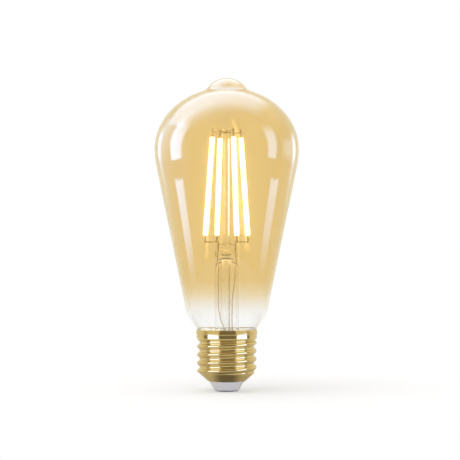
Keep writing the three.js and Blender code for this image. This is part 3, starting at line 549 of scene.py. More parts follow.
# %% Make the stem
STEM_STEPS = 64
flare_rim = NECK_RADIUS - FLARE_RIM
outside = [(NECK_RADIUS, FLARE_FOOT), (NECK_RADIUS, NECK_FOOT)] + flare(STEM_RADIUS, flare_rim, NECK_FOOT)
inside = flare(STEM_RADIUS - STEM_WALL, flare_rim - STEM_WALL, FLARE_FOOT)
bm = spin(inside[::-1] + outside, STEM_STEPS)
rims = [e for e in bm.edges if e.is_boundary]
outer_rim = [e for e in rims if hypot(*e.verts[0].co.xy) > (STEM_RADIUS - STEM_WALL / 2) * MM]
inner_rim = [e for e in rims if e not in outer_rim]
loft(bm, outer_rim, OUTER_RINGS)
loft(bm, inner_rim, BORE_RINGS)
bmesh.ops.recalc_face_normals(bm, faces=bm.faces)
# The bubble is a closed hollow, so its faces look into it.
bubble = bmesh.ops.create_uvsphere(bm, u_segments=24, v_segments=14, radius=1.0)["verts"]
bmesh.ops.scale(bm, verts=bubble, vec=Vector(BUBBLE_SIZE) * MM)
bmesh.ops.translate(bm, verts=bubble, vec=Vector(BUBBLE_PLACE) * MM)
bmesh.ops.reverse_faces(bm, faces=list({f for v in bubble for f in v.link_faces}))
piece("pinched_glass_stem", bm, STEM_GLASS, ["glass_stem"])

# %% [markdown]
# The exhaust tube hangs inside the stem. The air is pumped out through it, and then its end is melted shut,
# which leaves a drawn point. It is spun as a thin tube with one closed end.

# %% Exhaust tube
EXHAUST_WALL, EXHAUST_TAPER, EXHAUST_PLUG = 0.6, 4.0, 1.6
tube_low, tube_high = (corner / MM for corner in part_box("exhaust_tube"))
exhaust_x = (tube_low.x + tube_high.x) / 2
exhaust_radius = (tube_high.x - tube_low.x) / 2
exhaust_bore = exhaust_radius - EXHAUST_WALL
tip, taper_top = tube_low.z, tube_low.z + EXHAUST_TAPER
outline = bend((0, tip), (exhaust_radius * 0.9, tip + 0.6), (exhaust_radius, taper_top), 8)
outline += [(exhaust_radius, tube_high.z), (exhaust_bore, tube_high.z)]
outline += bend((exhaust_bore, taper_top), (exhaust_bore, tip + 2.2), (0, tip + EXHAUST_PLUG), 8)
bm = spin(outline, steps=32)
bmesh.ops.translate(bm, verts=bm.verts, vec=(exhaust_x * MM, 0, 0))
piece("exhaust_tube_sealed_tip", bm, STEM_GLASS, ["exhaust_tube"])

# %% [markdown]
# The post is a glass rod fused to the press. Its head is melted into a bead that grips the two anchor wires,
# so it is spun with a swelling at its foot and at its head.

# %% Centre post
POST_RADIUS, POST_FOOT, POST_SUNK = 1.35, 1.9, 0.5
BEAD_SWELL, BEAD_NECK, BEAD_WIDEST = 0.42, 3.0, 0.9
post_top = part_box("centre_post")[1].z / MM
shoulder = (POST_RADIUS + 0.35, post_top - 1.4)
outline = [(0, PRESS_TOP - POST_SUNK), (POST_FOOT, PRESS_TOP - POST_SUNK + 0.05)]
foot_end = (POST_RADIUS, PRESS_TOP + 1.4)
outline += bend((POST_FOOT - 0.15, PRESS_TOP), (POST_RADIUS, PRESS_TOP + 0.2), foot_end, 5)
outline += bend((POST_RADIUS, post_top - BEAD_NECK), (POST_RADIUS, post_top - 2.2), shoulder, 4)
widest = (POST_RADIUS + BEAD_SWELL, post_top - BEAD_WIDEST)
outline += bend(widest, (POST_RADIUS + 0.3, post_top - 0.05), (0, post_top), 7)
piece("centre_post_with_bead", spin(outline, steps=32), POST_GLASS, ["centre_post"])

# %% [markdown]
# ## Wires
# All wires are round, bent from straight stock, so each is a path with rounded corners. A curve with a round
# bevel gives the clean tube that a wire is, and it is turned into a mesh at once, with closed ends.

# %% Bend a wire
WIRE_BEND, BEND_STEPS = 0.9, 6


def rounded(points):
    """The path with each corner cut back and rounded."""
    points = [Vector(p) for p in points]
    path = [points[0]]
    for before, corner, after in zip(points, points[1:], points[2:]):
        back, forth = (before - corner), (after - corner)
        start = corner + back.normalized() * min(WIRE_BEND, back.length * 0.45)
        end = corner + forth.normalized() * min(WIRE_BEND, forth.length * 0.45)
        for i in range(BEND_STEPS + 1):
            t = i / BEND_STEPS
            path.append(start * (1 - t) ** 2 + corner * 2 * t * (1 - t) + end * t * t)
    return path + [points[-1]]


def wire(name, diameter, points, material, replaced):
    """Makes a round wire that follows the points."""
    curve = bpy.data.curves.new(name, "CURVE")
    curve.dimensions = "3D"
    curve.bevel_depth = diameter / 2 * MM
    curve.bevel_resolution = 3
    curve.use_fill_caps = True
    path = rounded(points)
    line = curve.splines.new("POLY")
    line.points.add(len(path) - 1)
    for spot, target in zip(line.points, path):
        spot.co = (*(target * MM), 1)
    guide = bpy.data.objects.new(name + "_guide", curve)
    mesh = bpy.data.meshes.new_from_object(guide)
    bpy.data.objects.remove(guide)
    bm = bmesh.new()
    bm.from_mesh(mesh)
    bmesh.ops.remove_doubles(bm, verts=bm.verts, dist=SEAM * MM)
    bmesh.ops.recalc_face_normals(bm, faces=bm.faces)
    return piece(name, bm, material, replaced)


# %% [markdown]
# ## Filaments
# Four filaments stand on a cone round the post, a quarter turn apart. Each has a glass-hard strip of LEDs in
# a phosphor jacket, and a flat metal tab out of each end. The jacket is drawn over the strip, so it is a long
# capsule with a faint swelling at each LED. It is spun upright and then leaned and turned to its place.

# %% Filament geometry
FILAMENT_COUNT, CHIP_COUNT = 4, 12
FILAMENT_FIRST_ANGLE = 25.3
FILAMENT_FOOT, FILAMENT_HEAD = (10.4, 69.0), (7.0, 112.7)
JACKET_RADIUS, JACKET_ROUNDING, CHIP_SWELL = 1.1, 0.75, 0.03
TAB_WIDTH, TAB_THICKNESS, TAB_EDGE = 0.8, 0.3, 0.1
LOWER_TAB, UPPER_TAB = 3.2, 3.9
TAB_GRIP = 0.7
filament_rise = FILAMENT_HEAD[1] - FILAMENT_FOOT[1]
filament_lean = atan((FILAMENT_FOOT[0] - FILAMENT_HEAD[0]) / filament_rise)
filament_length = filament_rise / cos(filament_lean)


def filament_place(index):
    """Leans an upright filament inwards and sets it on its angle round the post."""
    turn = Matrix.Rotation(radians(FILAMENT_FIRST_ANGLE + index * 360 / FILAMENT_COUNT), 4, "Z")
    stand = Matrix.Translation(Vector((FILAMENT_FOOT[0], 0, FILAMENT_FOOT[1])) * MM)
    return turn @ stand @ Matrix.Rotation(-filament_lean, 4, "Y")


def jacket_outline():
    """A capsule whose side swells slightly over each LED."""
    low = arc((JACKET_RADIUS - JACKET_ROUNDING, JACKET_ROUNDING), JACKET_ROUNDING, -90, 0, 6)
    high = [(r, filament_length - z) for r, z in reversed(low)]
    steps = 4 * CHIP_COUNT
    side = []
    for i in range(1, steps):
        height = JACKET_ROUNDING + (filament_length - 2 * JACKET_ROUNDING) * i / steps
        side.append((JACKET_RADIUS + CHIP_SWELL * sin(pi * i / 2) ** 2, height))
    return [(0, 0)] + low[1:] + side + high[:-1] + [(0, filament_length)]


def tab(bottom, length):
    """A flat tab with rounded edges, standing on the given height."""
    bm = bmesh.new()
    bmesh.ops.create_cube(bm, size=1.0)
    bmesh.ops.scale(bm, verts=bm.verts, vec=Vector((TAB_THICKNESS, TAB_WIDTH, length)) * MM)
    bmesh.ops.translate(bm, verts=bm.verts, vec=(0, 0, (bottom + length / 2) * MM))
    bmesh.ops.bevel(
        bm,
        geom=bm.edges[:],
        offset=TAB_EDGE * MM,
        offset_type="OFFSET",
        segments=2,
        profile=0.5,
        affect="EDGES",
        material=-1,
    )
    return bm


# %% Make the four filaments
for index in range(FILAMENT_COUNT):
    name = f"filament_{index + 1}"
    head_tab = tab(filament_length - TAB_GRIP, UPPER_TAB + TAB_GRIP)
    parts = {
        "_jacket": (spin(jacket_outline(), steps=20), PHOSPHOR, "phosphor", name + "_phosphor"),
        "_foot_tab": (tab(-LOWER_TAB, LOWER_TAB + TAB_GRIP), NICKEL, "nickel", name + "_lower_tab"),
        "_head_tab": (head_tab, NICKEL, "nickel", name + "_upper_tab"),
    }
    for suffix, (bm, material, slot, node) in parts.items():
        bmesh.ops.transform(bm, matrix=filament_place(index), verts=bm.verts)
        made = piece(name + suffix, bm, material, [node])
        # The glass would repeat each glowing strip as a ghost beside it, and the eye takes that for a fault.
        made.visible_glossy = False

# %% [markdown]
# ## Leads and anchors
# Two supply wires come up through the press. Each bends out to the tab of one filament, and a short cross
# wire links it to the next, so that the filaments are fed in pairs. Two anchor wires cross in the bead of the
# post and hold the upper tabs. In the stem the supply wires run down to the driver, and beside them runs the
# antenna of the wireless module, which needs to stand clear of the metal cap.

# %% Leads inside the glass
LEAD_DIAMETER, ANCHOR_DIAMETER = 0.5, 0.42
BORE = STEM_RADIUS - STEM_WALL
LEAD_SHARE = 5 / 6
LEAD_SPREAD = BORE * LEAD_SHARE
LEAD_WELD, LEAD_TURN = PRESS_TOP - 3, PRESS_TOP + 0.8
CROSS_WIRE_START = 0.05
ANCHOR_HEIGHT = FILAMENT_HEAD[1] + 2.1
ANCHOR_STEP = ANCHOR_DIAMETER + 0.3


def filament_radius(height):
    """How far out the line of a filament is at a height."""
    return FILAMENT_FOOT[0] - (height - FILAMENT_FOOT[1]) * tan(filament_lean)


def tab_spot(index, height):
    """Where the line of a filament crosses a height."""
    angle = radians(FILAMENT_FIRST_ANGLE + index * 360 / FILAMENT_COUNT)
    radius = filament_radius(height)
    return Vector((radius * cos(angle), radius * sin(angle), height))


for side, first, second in (("right", 0, 3), ("left", 2, 1)):
    reach = LEAD_SPREAD if side == "right" else -LEAD_SPREAD
    weld = Vector((reach, 0, LEAD_WELD))
    head = Vector((reach, 0, LEAD_TURN))
    first_tab, second_tab = (tab_spot(i, LEAD_TURN) for i in (first, second))
    wire(
        f"{side}_lead_in_glass",
        LEAD_DIAMETER,
        [weld, head, first_tab],
        NICKEL,
        [f"{side}_inner_lead"],
    )
    wire(
        f"{side}_cross_wire",
        LEAD_DIAMETER,
        [head.lerp(second_tab, CROSS_WIRE_START), second_tab],
        NICKEL,
        [f"{side}_cross_lead"],
    )

for name, first, height in (("lower", 0, ANCHOR_HEIGHT), ("upper", 1, ANCHOR_HEIGHT + ANCHOR_STEP)):
    ends = [tab_spot(first, height), tab_spot(first + 2, height)]
    wire(f"{name}_anchor", ANCHOR_DIAMETER, ends, NICKEL, [f"{name}_anchor_wire"])

# %% Leads and antenna in the stem
LEFT_PAD, RIGHT_PAD = (-1.4, -3.8), (2.8, 1.8)
ANTENNA_PAD_Y, ANTENNA_KNEE = -4.4, (4.4, -3.6)
throat = FLARE_FOOT + FLARE_LENGTH
board_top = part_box("driver_board")[1].z / MM
module_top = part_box("wireless_module_board")[1].z / MM
module_x = sum(corner.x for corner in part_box("wireless_module_board")) / 2 / MM


def in_bore(angle, share, height):
    """A point in the bore of the stem: angle in degrees, share of the bore's radius, height."""
    return (BORE * share * cos(radians(angle)), BORE * share * sin(radians(angle)), height)


left_turns = ((180, 11), (221, 7), (256, 2))
left_run = [in_bore(angle, LEAD_SHARE, throat + rise) for angle, rise in left_turns]
right_run = [in_bore(0, LEAD_SHARE, throat + 25), in_bore(9.5, 0.54, throat + 14)]
for side, reach, run, pad in (
    ("left", -LEAD_SPREAD, left_run, LEFT_PAD),
    ("right", LEAD_SPREAD, right_run, RIGHT_PAD),
):
    path = [(reach, 0, LEAD_WELD), *run, (*run[-1][:2], FLARE_FOOT), (*pad, board_top)]
    wire(f"{side}_lead_to_driver", LEAD_DIAMETER, path, COPPER, [f"{side}_outer_lead"])

antenna_turn = in_bore(-69, 0.7, throat - 1)
antenna_path = [
    (module_x, ANTENNA_PAD_Y, module_top),
    (module_x, ANTENNA_PAD_Y, module_top + 1),
    (*ANTENNA_KNEE, FLARE_FOOT),
    antenna_turn,
    (*antenna_turn[:2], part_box("antenna_wire")[1].z / MM),
]
wire("antenna_in_stem", LEAD_DIAMETER, antenna_path, COPPER, ["antenna_wire"])

# %% [markdown]
# ## The screw shell
# The cap is drawn from brass sheet 0.3 mm thick, and the thread is rolled into it: one wavy wall with a pitch
# of 3.629 mm, not a cut groove. So a plain turned wall with many rows is spun first. Then each point moves in
# or out by a wave that climbs with its angle, and that makes the helix. The wave is made of equal arcs, as on
# a rolled cap, and it fades out towards the collar and the bowl. The collar ends in a step that stands out a
# little. Solidify gives the wall its thickness at the end.

# %% Sizes of the screw shell
# The thread stands THREAD_WAVE out and in from its mean radius. A crest crosses the +X side at CREST_AT_X.
PITCH, CREST_AT_X = 3.629, 10.67
THREAD_MEAN, THREAD_WAVE = 12.675, 0.575
ARC_RADIUS = ((PITCH / 4) ** 2 + THREAD_WAVE**2) / (2 * THREAD_WAVE)
BOWL_TOP, COLLAR_BOTTOM = 8.4, RIM - 3.6
COLLAR_RADIUS, SHELL_WALL = 13.38, 0.3
MOUTH_RADIUS = 8.35
MOUTH_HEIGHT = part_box("screw_shell")[0].z / MM
RUN_OUT = 1.2
STEP_HEIGHT, STEP_LIFT, STEP_WIDTH = 1.4, 0.5, 0.35
THREAD_ROWS = 110
print("thread: pitch", PITCH, "mm, over the crests", round(2 * (THREAD_MEAN + THREAD_WAVE), 2), "mm")


# %% The thread's wave
def smooth_step(low, high, value):
    """Rises softly from 0 to 1 while the value goes from low to high."""
    t = min(1, max(0, (value - low) / (high - low)))
    return t * t * (3 - 2 * t)


def thread_shift(angle, height):
    """How far the rolled wall stands out from the mean radius. One arc rounds each crest and one each root,
    and they meet halfway up the flank."""
    turns = (height - CREST_AT_X) / PITCH - angle / (2 * pi)
    rise = abs(turns - round(turns)) * PITCH
    near_crest = rise < PITCH / 4
    reach = rise if near_crest else PITCH / 2 - rise
    drop = ARC_RADIUS - (ARC_RADIUS**2 - reach**2) ** 0.5
    wave = THREAD_WAVE - drop if near_crest else drop - THREAD_WAVE
    lower = smooth_step(BOWL_TOP - RUN_OUT / 2, BOWL_TOP + RUN_OUT / 2, height)
    upper = 1 - smooth_step(COLLAR_BOTTOM - RUN_OUT, COLLAR_BOTTOM, height)
    return wave * lower * upper


# %% Outline of the screw shell
def body_outline():
    """The bowl, the wall that gets the thread, and the plain collar."""
    bowl = bend((MOUTH_RADIUS, MOUTH_HEIGHT), (10.4, 6.3), (THREAD_MEAN - 0.4, BOWL_TOP - 0.4), 8)
    round_off = bend(bowl[-1], (THREAD_MEAN - 0.05, BOWL_TOP - 0.05), (THREAD_MEAN, BOWL_TOP + 0.4), 3)
    start, end = BOWL_TOP + 0.4, COLLAR_BOTTOM - 0.5
    thread = [(THREAD_MEAN, start + (end - start) * i / THREAD_ROWS) for i in range(1, THREAD_ROWS + 1)]
    corner = bend(thread[-1], (COLLAR_RADIUS, COLLAR_BOTTOM - 0.35), (COLLAR_RADIUS, COLLAR_BOTTOM + 0.35), 6)
    heights = (COLLAR_BOTTOM + 0.45, RIM - STEP_HEIGHT - 0.3, RIM - STEP_HEIGHT - 0.18)
    return bowl + round_off[1:] + thread + corner[1:] + [(COLLAR_RADIUS, height) for height in heights]


def step_outline(start):
    """The step at the rim: it springs out from start, tapers upwards, and ends in a rounded edge."""
    wide, foot, rim = COLLAR_RADIUS + STEP_WIDTH, RIM - STEP_HEIGHT, RIM + STEP_LIFT
    under = bend(start, (COLLAR_RADIUS, foot - 0.05), (wide - 0.11, foot), 3)
    nose = bend(under[-1], (wide, foot + 0.02), (wide - 0.01, foot + 0.1), 3)
    taper = [(wide - 0.04, foot + 0.2), (COLLAR_RADIUS - 0.02, rim - 0.2), (COLLAR_RADIUS - 0.05, rim - 0.12)]
    edge = bend(taper[-1], (COLLAR_RADIUS - 0.06, rim), (COLLAR_RADIUS - 0.3, rim), 3)
    return under[1:] + nose[1:] + taper + edge[1:]


# %% Make the screw shell
wall = body_outline()
bm = spin(wall + step_outline(wall[-1]), steps=144)
for vertex in bm.verts:
    radius = hypot(vertex.co.x, vertex.co.y)
    shift = thread_shift(atan2(vertex.co.y, vertex.co.x), vertex.co.z / MM) * MM
    vertex.co.xy *= (radius + shift) / radius
bmesh.ops.recalc_face_normals(bm, faces=bm.faces)
bmesh.ops.solidify(bm, geom=bm.faces, thickness=SHELL_WALL * MM)
piece("rolled_brass_screw_shell", bm, BRASS, ["screw_shell"])

# %% [markdown]
# ## Insulator, contact, cement and sleeve
# A white cone of moulded plastic closes the cap and keeps the end contact clear of the shell. The contact is
# a stamped disc with a pin for the live wire. Cement in the collar holds the glass, and it follows the glass
# funnel with a small gap. These three are spun, with the small radii that moulds and dies leave. The sleeve
# that lines the cap round the driver is a plain tube, so it stays as the construction model has it.

# %% Base insulator
CONTACT_RADIUS, CONTACT_PROUD, CONTACT_THICKNESS = 4.1, 0.3, 0.8
HEEL, PIN_HOLE, RADIUS_LEFT = (5.95, 1.35), 1.3, 0.2
insulator_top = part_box("base_insulator")[1].z / MM
socket, inside = CONTACT_RADIUS + 0.3, MOUTH_RADIUS - 0.42
outline = [(socket, CONTACT_THICKNESS), (socket, CONTACT_PROUD + 0.15), (socket + 0.12, CONTACT_PROUD)]
outline += bend((4.75, CONTACT_PROUD), (5.65, CONTACT_PROUD + 0.05), HEEL, 7)
outline += bend(HEEL, (6.75, 3.0), (MOUTH_RADIUS - 0.32, MOUTH_HEIGHT - 0.02), 6)[1:]
outline += [
    (inside, MOUTH_HEIGHT + 0.15),
    (inside + 1.9, insulator_top - RADIUS_LEFT),
    (inside + 1.7, insulator_top),
    (PIN_HOLE + RADIUS_LEFT, insulator_top),
    (PIN_HOLE, insulator_top - RADIUS_LEFT),
    (PIN_HOLE, CONTACT_THICKNESS),
]
piece("moulded_base_insulator", spin(outline, 96, ring=True), WHITE, ["base_insulator"])

# %% End contact
DIMPLE, PIN_RADIUS = 0.12, 1.0
pin_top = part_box("centre_contact")[1].z / MM
back = CONTACT_THICKNESS
outline = [(0, DIMPLE)]
outline += bend((1.6, DIMPLE), (2.2, 0.1), (2.5, 0.0), 4)
outline += bend((3.6, 0.0), (CONTACT_RADIUS, 0.0), (CONTACT_RADIUS, 0.4), 5)
outline += [(CONTACT_RADIUS, back - 0.1), (CONTACT_RADIUS - 0.1, back)]
outline += bend((PIN_RADIUS + 0.25, back), (PIN_RADIUS, back), (PIN_RADIUS, back + 0.3), 3)
outline += bend((PIN_RADIUS, pin_top - 0.3), (PIN_RADIUS, pin_top), (PIN_RADIUS - 0.3, pin_top), 3)
outline += [(0, pin_top)]
piece("stamped_end_contact", spin(outline, 64), CONTACT_METAL, ["centre_contact"])

# %% Cement ring
cement_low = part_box("basing_cement")[0].z / MM
collar_inside = COLLAR_RADIUS - SHELL_WALL
outline = [
    (NECK_RADIUS + 0.12, cement_low + 0.2),
    (NECK_RADIUS + 0.5, cement_low),
    (collar_inside - 0.4, cement_low + 0.1),
    (collar_inside - 0.12, cement_low + 0.5),
    (collar_inside - 0.1, RIM + 0.05),
]
outline += [(r + 0.1, z - 0.05) for r, z in reversed(funnel()[:-1])]
piece("cement_ring", spin(outline, 72, ring=True), CEMENT, ["basing_cement"])

# %% [markdown]
# ## Pieces that stay as they are
# The electronics, the sleeve, the ceramic strips and the wires in the cap are hidden by what is round them.
# So the construction model's own shapes are kept, and they only get their finish.

# %% Finishes of the pieces that come straight from the construction model
KEPT_FINISHES = {
    SLEEVE: ["insulating_sleeve"],
    BOARD: ["driver_board", "wireless_module_board"],
    TINNED: ["wireless_module_shield"],
    CAN: ["smoothing_capacitor"],
    FILM: ["film_capacitor"],
    RESIN: ["filter_inductor", "bridge_rectifier", "driver_chip"],
    ENAMEL: ["fusible_resistor"],
    COPPER: ["live_wire", "neutral_wire"],
    CERAMIC: [f"filament_{i + 1}_led_strip" for i in range(FILAMENT_COUNT)],
}
for material, names in KEPT_FINISHES.items():
    for name in names:
        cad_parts[name].data.materials.clear()
        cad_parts[name].data.materials.append(material)
print("kept from the construction model:", sum(len(names) for names in KEPT_FINISHES.values()))

# %% [markdown]
# ## The table
# The lamp stands on a plain white table. Near the lamp the table is a lit white surface, so that it takes the
# soft shadow under the cap. Further out it turns into the white of the background, so no horizon shows.
# Mirror rays see it in a painted reflection colour, a little warm, with a painted shade just in front of the
# foot.

# %% Table
TABLE_RADIUS, LIT_RADIUS, WHITE_RADIUS = 150.0, 60.0, 139.5
# The second colour is a painted reflection: only mirror rays see the table in this warm tone.
TABLE_WHITE, TABLE_PAINTED_REFLECTION = "#f2f2f2", "#e2d8bd"
TABLE_LIFT, TABLE_GAP = 0.2, 0.02
# A painted shade that only mirror rays see: a dark disc on the table just in front of the foot.
PAINTED_SHADE_PLACE, PAINTED_SHADE_FROM, PAINTED_SHADE_TO, PAINTED_SHADE_LEVEL = (0, -11, 0), 4.0, 13.0, 0.35


def table_material():
    """White and lit near the lamp, the background's own white further out; mirror rays see painted reflection
    and shade.
    """
    material, tree, place = blank_material("white_table")
    rays = add(tree, "LightPath")
    away = add(tree, "VectorMath", {0: place}, operation="LENGTH")
    far = add(
        tree,
        "MapRange",
        {"Value": away.outputs["Value"], "From Min": LIT_RADIUS * MM, "From Max": WHITE_RADIUS * MM},
        interpolation_type="SMOOTHSTEP",
    )
    # Painted shade: mirror rays see the table darker round a point just in front of the foot.
    under = add(tree, "VectorMath", {0: place, 1: Vector(PAINTED_SHADE_PLACE) * MM}, operation="DISTANCE")
    shade = add(
        tree,
        "MapRange",
        {
            "Value": under.outputs["Value"],
            "From Min": PAINTED_SHADE_FROM * MM,
            "From Max": PAINTED_SHADE_TO * MM,
            "To Min": PAINTED_SHADE_LEVEL,
        },
        interpolation_type="SMOOTHSTEP",
    )
    # Painted reflection: mirror rays see the table warm, not white.
    painted_reflection = {0: colour(TABLE_PAINTED_REFLECTION)[:3], "Scale": shade.outputs[0]}
    warm = add(tree, "VectorMath", painted_reflection, operation="SCALE")
    tone = add(
        tree,
        "Mix",
        {0: rays.outputs["Is Glossy Ray"], 6: colour(TABLE_WHITE), 7: warm.outputs[0]},
        data_type="RGBA",
    )
    lit = add(tree, "BsdfDiffuse", {"Color": tone.outputs[2]})
    lift = add(tree, "Math", {0: rays.outputs["Is Camera Ray"], 1: TABLE_LIFT}, operation="MULTIPLY")
    glow = add(tree, "Emission", {"Strength": lift.outputs[0]})
    near = add(tree, "AddShader", {0: lit.outputs[0], 1: glow.outputs[0]})
    white = add(tree, "Emission", {"Strength": 1.0})
    both = add(tree, "MixShader", {0: far.outputs[0], 1: near.outputs[0], 2: white.outputs[0]})
    return finish_material(material, tree, both)


bm = bmesh.new()
bmesh.ops.create_circle(bm, cap_ends=True, segments=96, radius=TABLE_RADIUS * MM)
mesh = bpy.data.meshes.new("table")
bm.to_mesh(mesh)
bm.free()
mesh.materials.append(table_material())
table = bpy.data.objects.new("table", mesh)
bpy.context.scene.collection.objects.link(table)
table.location.z = -TABLE_GAP * MM
print("table: radius", TABLE_RADIUS, "mm")

# %% [markdown]
# ## The studio
# Polished metal and glass show their surroundings, so the room is part of the finish. The eye meets plain
# white all round. A mirror ray meets a warm cream room with a dim sector where the camera stands, which gives
# the brass its dark middle, and with two dim flags at the sides, which draw the dark lines beside its bright
# columns. Light that comes through glass meets white, and a ceiling brighter than white, so the dome glows.
# Directions are measured as an azimuth in degrees, from 0 at the camera's side to 180 behind the lamp.

# %% Sectors of the room
ROOM_CREAM, ROOM_WHITE = "#e6d6ab", "#ffffff"
CEILING_FROM, CEILING = 0.55, 1.7
AMBIENT = 0.8
# A sector has a name, whether it is there on both sides, its first and last azimuth, the softness of these
# edges in radians, the rise (the Z of a ray) where it starts and ends, and a colour. Later ones lie over
# earlier ones. No ray has an azimuth past 180, so a sector that ends past it has no far edge.
PAST_THE_BACK = 230.0
SECTORS = (
    ("back", True, 112.0, PAST_THE_BACK, 0.15, None, None, "#ece3c8"),
    ("far_back", True, 163.0, PAST_THE_BACK, 0.12, None, None, "#ece0c6"),
    ("dim_front", False, -29.5, 36.5, 0.03, -2.0, 0.9, "#81765d"),
    ("side_flags", True, 78.0, 98.0, 0.03, -0.3, 0.3, "#93866a"),
)


def between(tree, value, low, high, soft):
    """1 where the value lies between low and high, with soft edges, and 0 elsewhere."""
    up = add(tree, "MapRange", {"Value": value, "From Min": low - soft, "From Max": low + soft})
    down = add(tree, "MapRange", {"Value": value, "From Min": high + soft, "From Max": high - soft})
    return add(tree, "Math", {0: up.outputs[0], 1: down.outputs[0]}, operation="MULTIPLY").outputs[0]


# %% White room
def room():
    """A world that each kind of ray sees in its own way."""
    world = bpy.data.worlds.new("white_room")
    bpy.context.scene.world = world
    world.use_nodes = True
    world.cycles.sampling_method = "NONE"
    tree = world.node_tree
    tree.nodes.clear()
    toward = add(tree, "TexCoord").outputs["Generated"]
    part = add(tree, "SeparateXYZ", {"Vector": toward})
    back = add(tree, "Math", {0: part.outputs["Y"], 1: -1.0}, operation="MULTIPLY")
    azimuth = add(tree, "Math", {0: part.outputs["X"], 1: back.outputs[0]}, operation="ARCTAN2").outputs[0]
    aside = add(tree, "Math", {0: azimuth}, operation="ABSOLUTE").outputs[0]
    rise = part.outputs["Z"]
    mirror = colour(ROOM_CREAM)
    for name, both_sides, start, end, soft, low, high, wall in SECTORS:
        share = between(tree, aside if both_sides else azimuth, radians(start), radians(end), soft)
        if high is not None:
            level = between(tree, rise, low, high, 0.1)
            share = add(tree, "Math", {0: share, 1: level}, operation="MULTIPLY").outputs[0]
        mirror = add(tree, "Mix", {0: share, 6: mirror, 7: colour(wall)}, data_type="RGBA").outputs[2]
        print("sector:", name)
    ceiling = between(tree, rise, CEILING_FROM, 2.0, 0.1)
    bright = [CEILING] * 3 + [1.0]
    through = add(tree, "Mix", {0: ceiling, 6: colour(ROOM_WHITE), 7: bright}, data_type="RGBA").outputs[2]
    rays = add(tree, "LightPath")
    light = [AMBIENT] * 3 + [1.0]
    for kind, seen in (("Glossy", mirror), ("Transmission", through), ("Camera", colour(ROOM_WHITE))):
        share = rays.outputs["Is " + kind + " Ray"]
        light = add(tree, "Mix", {0: share, 6: light, 7: seen}, data_type="RGBA").outputs[2]
    background = add(tree, "Background", {"Color": light, "Strength": 1.0})
    add(tree, "OutputWorld", {"Surface": background.outputs[0]})


room()

# %% [markdown]
# Softboxes stand round the lamp. They are there for their reflections, and light linking lets each one light
# only the pieces it is meant for: tall ones at the sides draw the bright patches on the glass, wide ones
# above whiten the dome, and two small ones stripe the cap. Each softbox fades at its edges, like a real one.
# Their light is cool, because amber glass and brass are warm, so what they mirror comes out neutral.

# %% A softbox and its place
GLASS_CENTRE = Vector((0, 0, 95)) * MM
CAP_CENTRE = Vector((0, 0, 16)) * MM


def round_the_lamp(centre, azimuth, elevation, distance):
    """A place seen from centre. Azimuth 0 is the camera's side, positive is to the right, in degrees."""
    a, e = radians(azimuth), radians(elevation)
    return centre + Vector((sin(a) * cos(e), -cos(a) * cos(e), sin(e))) * distance


EVEN, NARROW_EDGES = (1, 1, 1, 1), (0.1, 0.1, 0.1, 0.1)


def softbox(name, place, aim, size, level, edges=NARROW_EDGES, ends=EVEN, roll=0, only=None, tint="#ffffff"):
    """A rectangular lamp at place, in metres, that looks at aim. Size is in metres too, and level is how
    bright it is, where white is 1. Edges are the shares of its width and height that fade at the left, right,
    bottom and top, and ends are factors on its brightness there. Roll turns it in its own plane, in degrees.
    With only, those pieces alone show it, as a reflection, and it lights nothing matt."""
    lamp = bpy.data.lights.new(name, "AREA")
    lamp.shape = "RECTANGLE"
    lamp.size, lamp.size_y = size
    lamp.energy = pi * size[0] * size[1]
    lamp.use_nodes = True
    tree = lamp.node_tree
    tree.nodes.clear()
    spot = add(tree, "SeparateXYZ", {"Vector": add(tree, "NewGeometry").outputs["Parametric"]})
    power = add(tree, "Value").outputs[0]
    power.default_value = level
    for axis, first in (("X", 0), ("Y", 2)):
        share = spot.outputs[axis]
        slope = {"Value": share, "To Min": ends[first], "To Max": ends[first + 1]}
        start = {"Value": share, "From Min": 0.0, "From Max": edges[first]}
        end = {"Value": share, "From Min": 1.0, "From Max": 1.0 - edges[first + 1]}
        for ramp, course in ((slope, "LINEAR"), (start, "SMOOTHSTEP"), (end, "SMOOTHSTEP")):
            factor = add(tree, "MapRange", ramp, interpolation_type=course).outputs[0]
            power = add(tree, "Math", {0: power, 1: factor}, operation="MULTIPLY").outputs[0]
    glow = add(tree, "Emission", {"Color": colour(tint), "Strength": power})
    add(tree, "OutputLight", {"Surface": glow.outputs[0]})
    made = bpy.data.objects.new(name, lamp)
    bpy.context.scene.collection.objects.link(made)
    made.location = place
    facing = (aim - place).to_track_quat("-Z", "Y").to_matrix()
    made.rotation_euler = (facing @ Matrix.Rotation(radians(roll), 3, "Z")).to_euler()
    made.visible_transmission = False
    if only:
        made.visible_diffuse = False
        made.light_linking.receiver_collection = only
    print("softbox:", name, [round(v, 2) for v in made.location])
    return made


def gather(name, pieces):
    """A collection of pieces that a softbox can be told to light alone."""
    group = bpy.data.collections.new(name)
    for member in pieces:
        group.objects.link(bpy.data.objects[member])
    return group


# %% Softboxes for the glass
glass_pieces = gather(
    "lit_by_the_tall_boxes",
    ("blown_glass_envelope", "pinched_glass_stem", "exhaust_tube_sealed_tip", "centre_post_with_bead"),
)
SIDE = 0.6
COOL, COOLER = "#9dcaff", "#a4baff"
PATCH = (0.25, 0.25, 0.05, 0.45)
STRIP = (0.2, 0.2, 0.6, 0.05)
RIM_FADE = (0.4, 0.4, 0.4, 0.4)
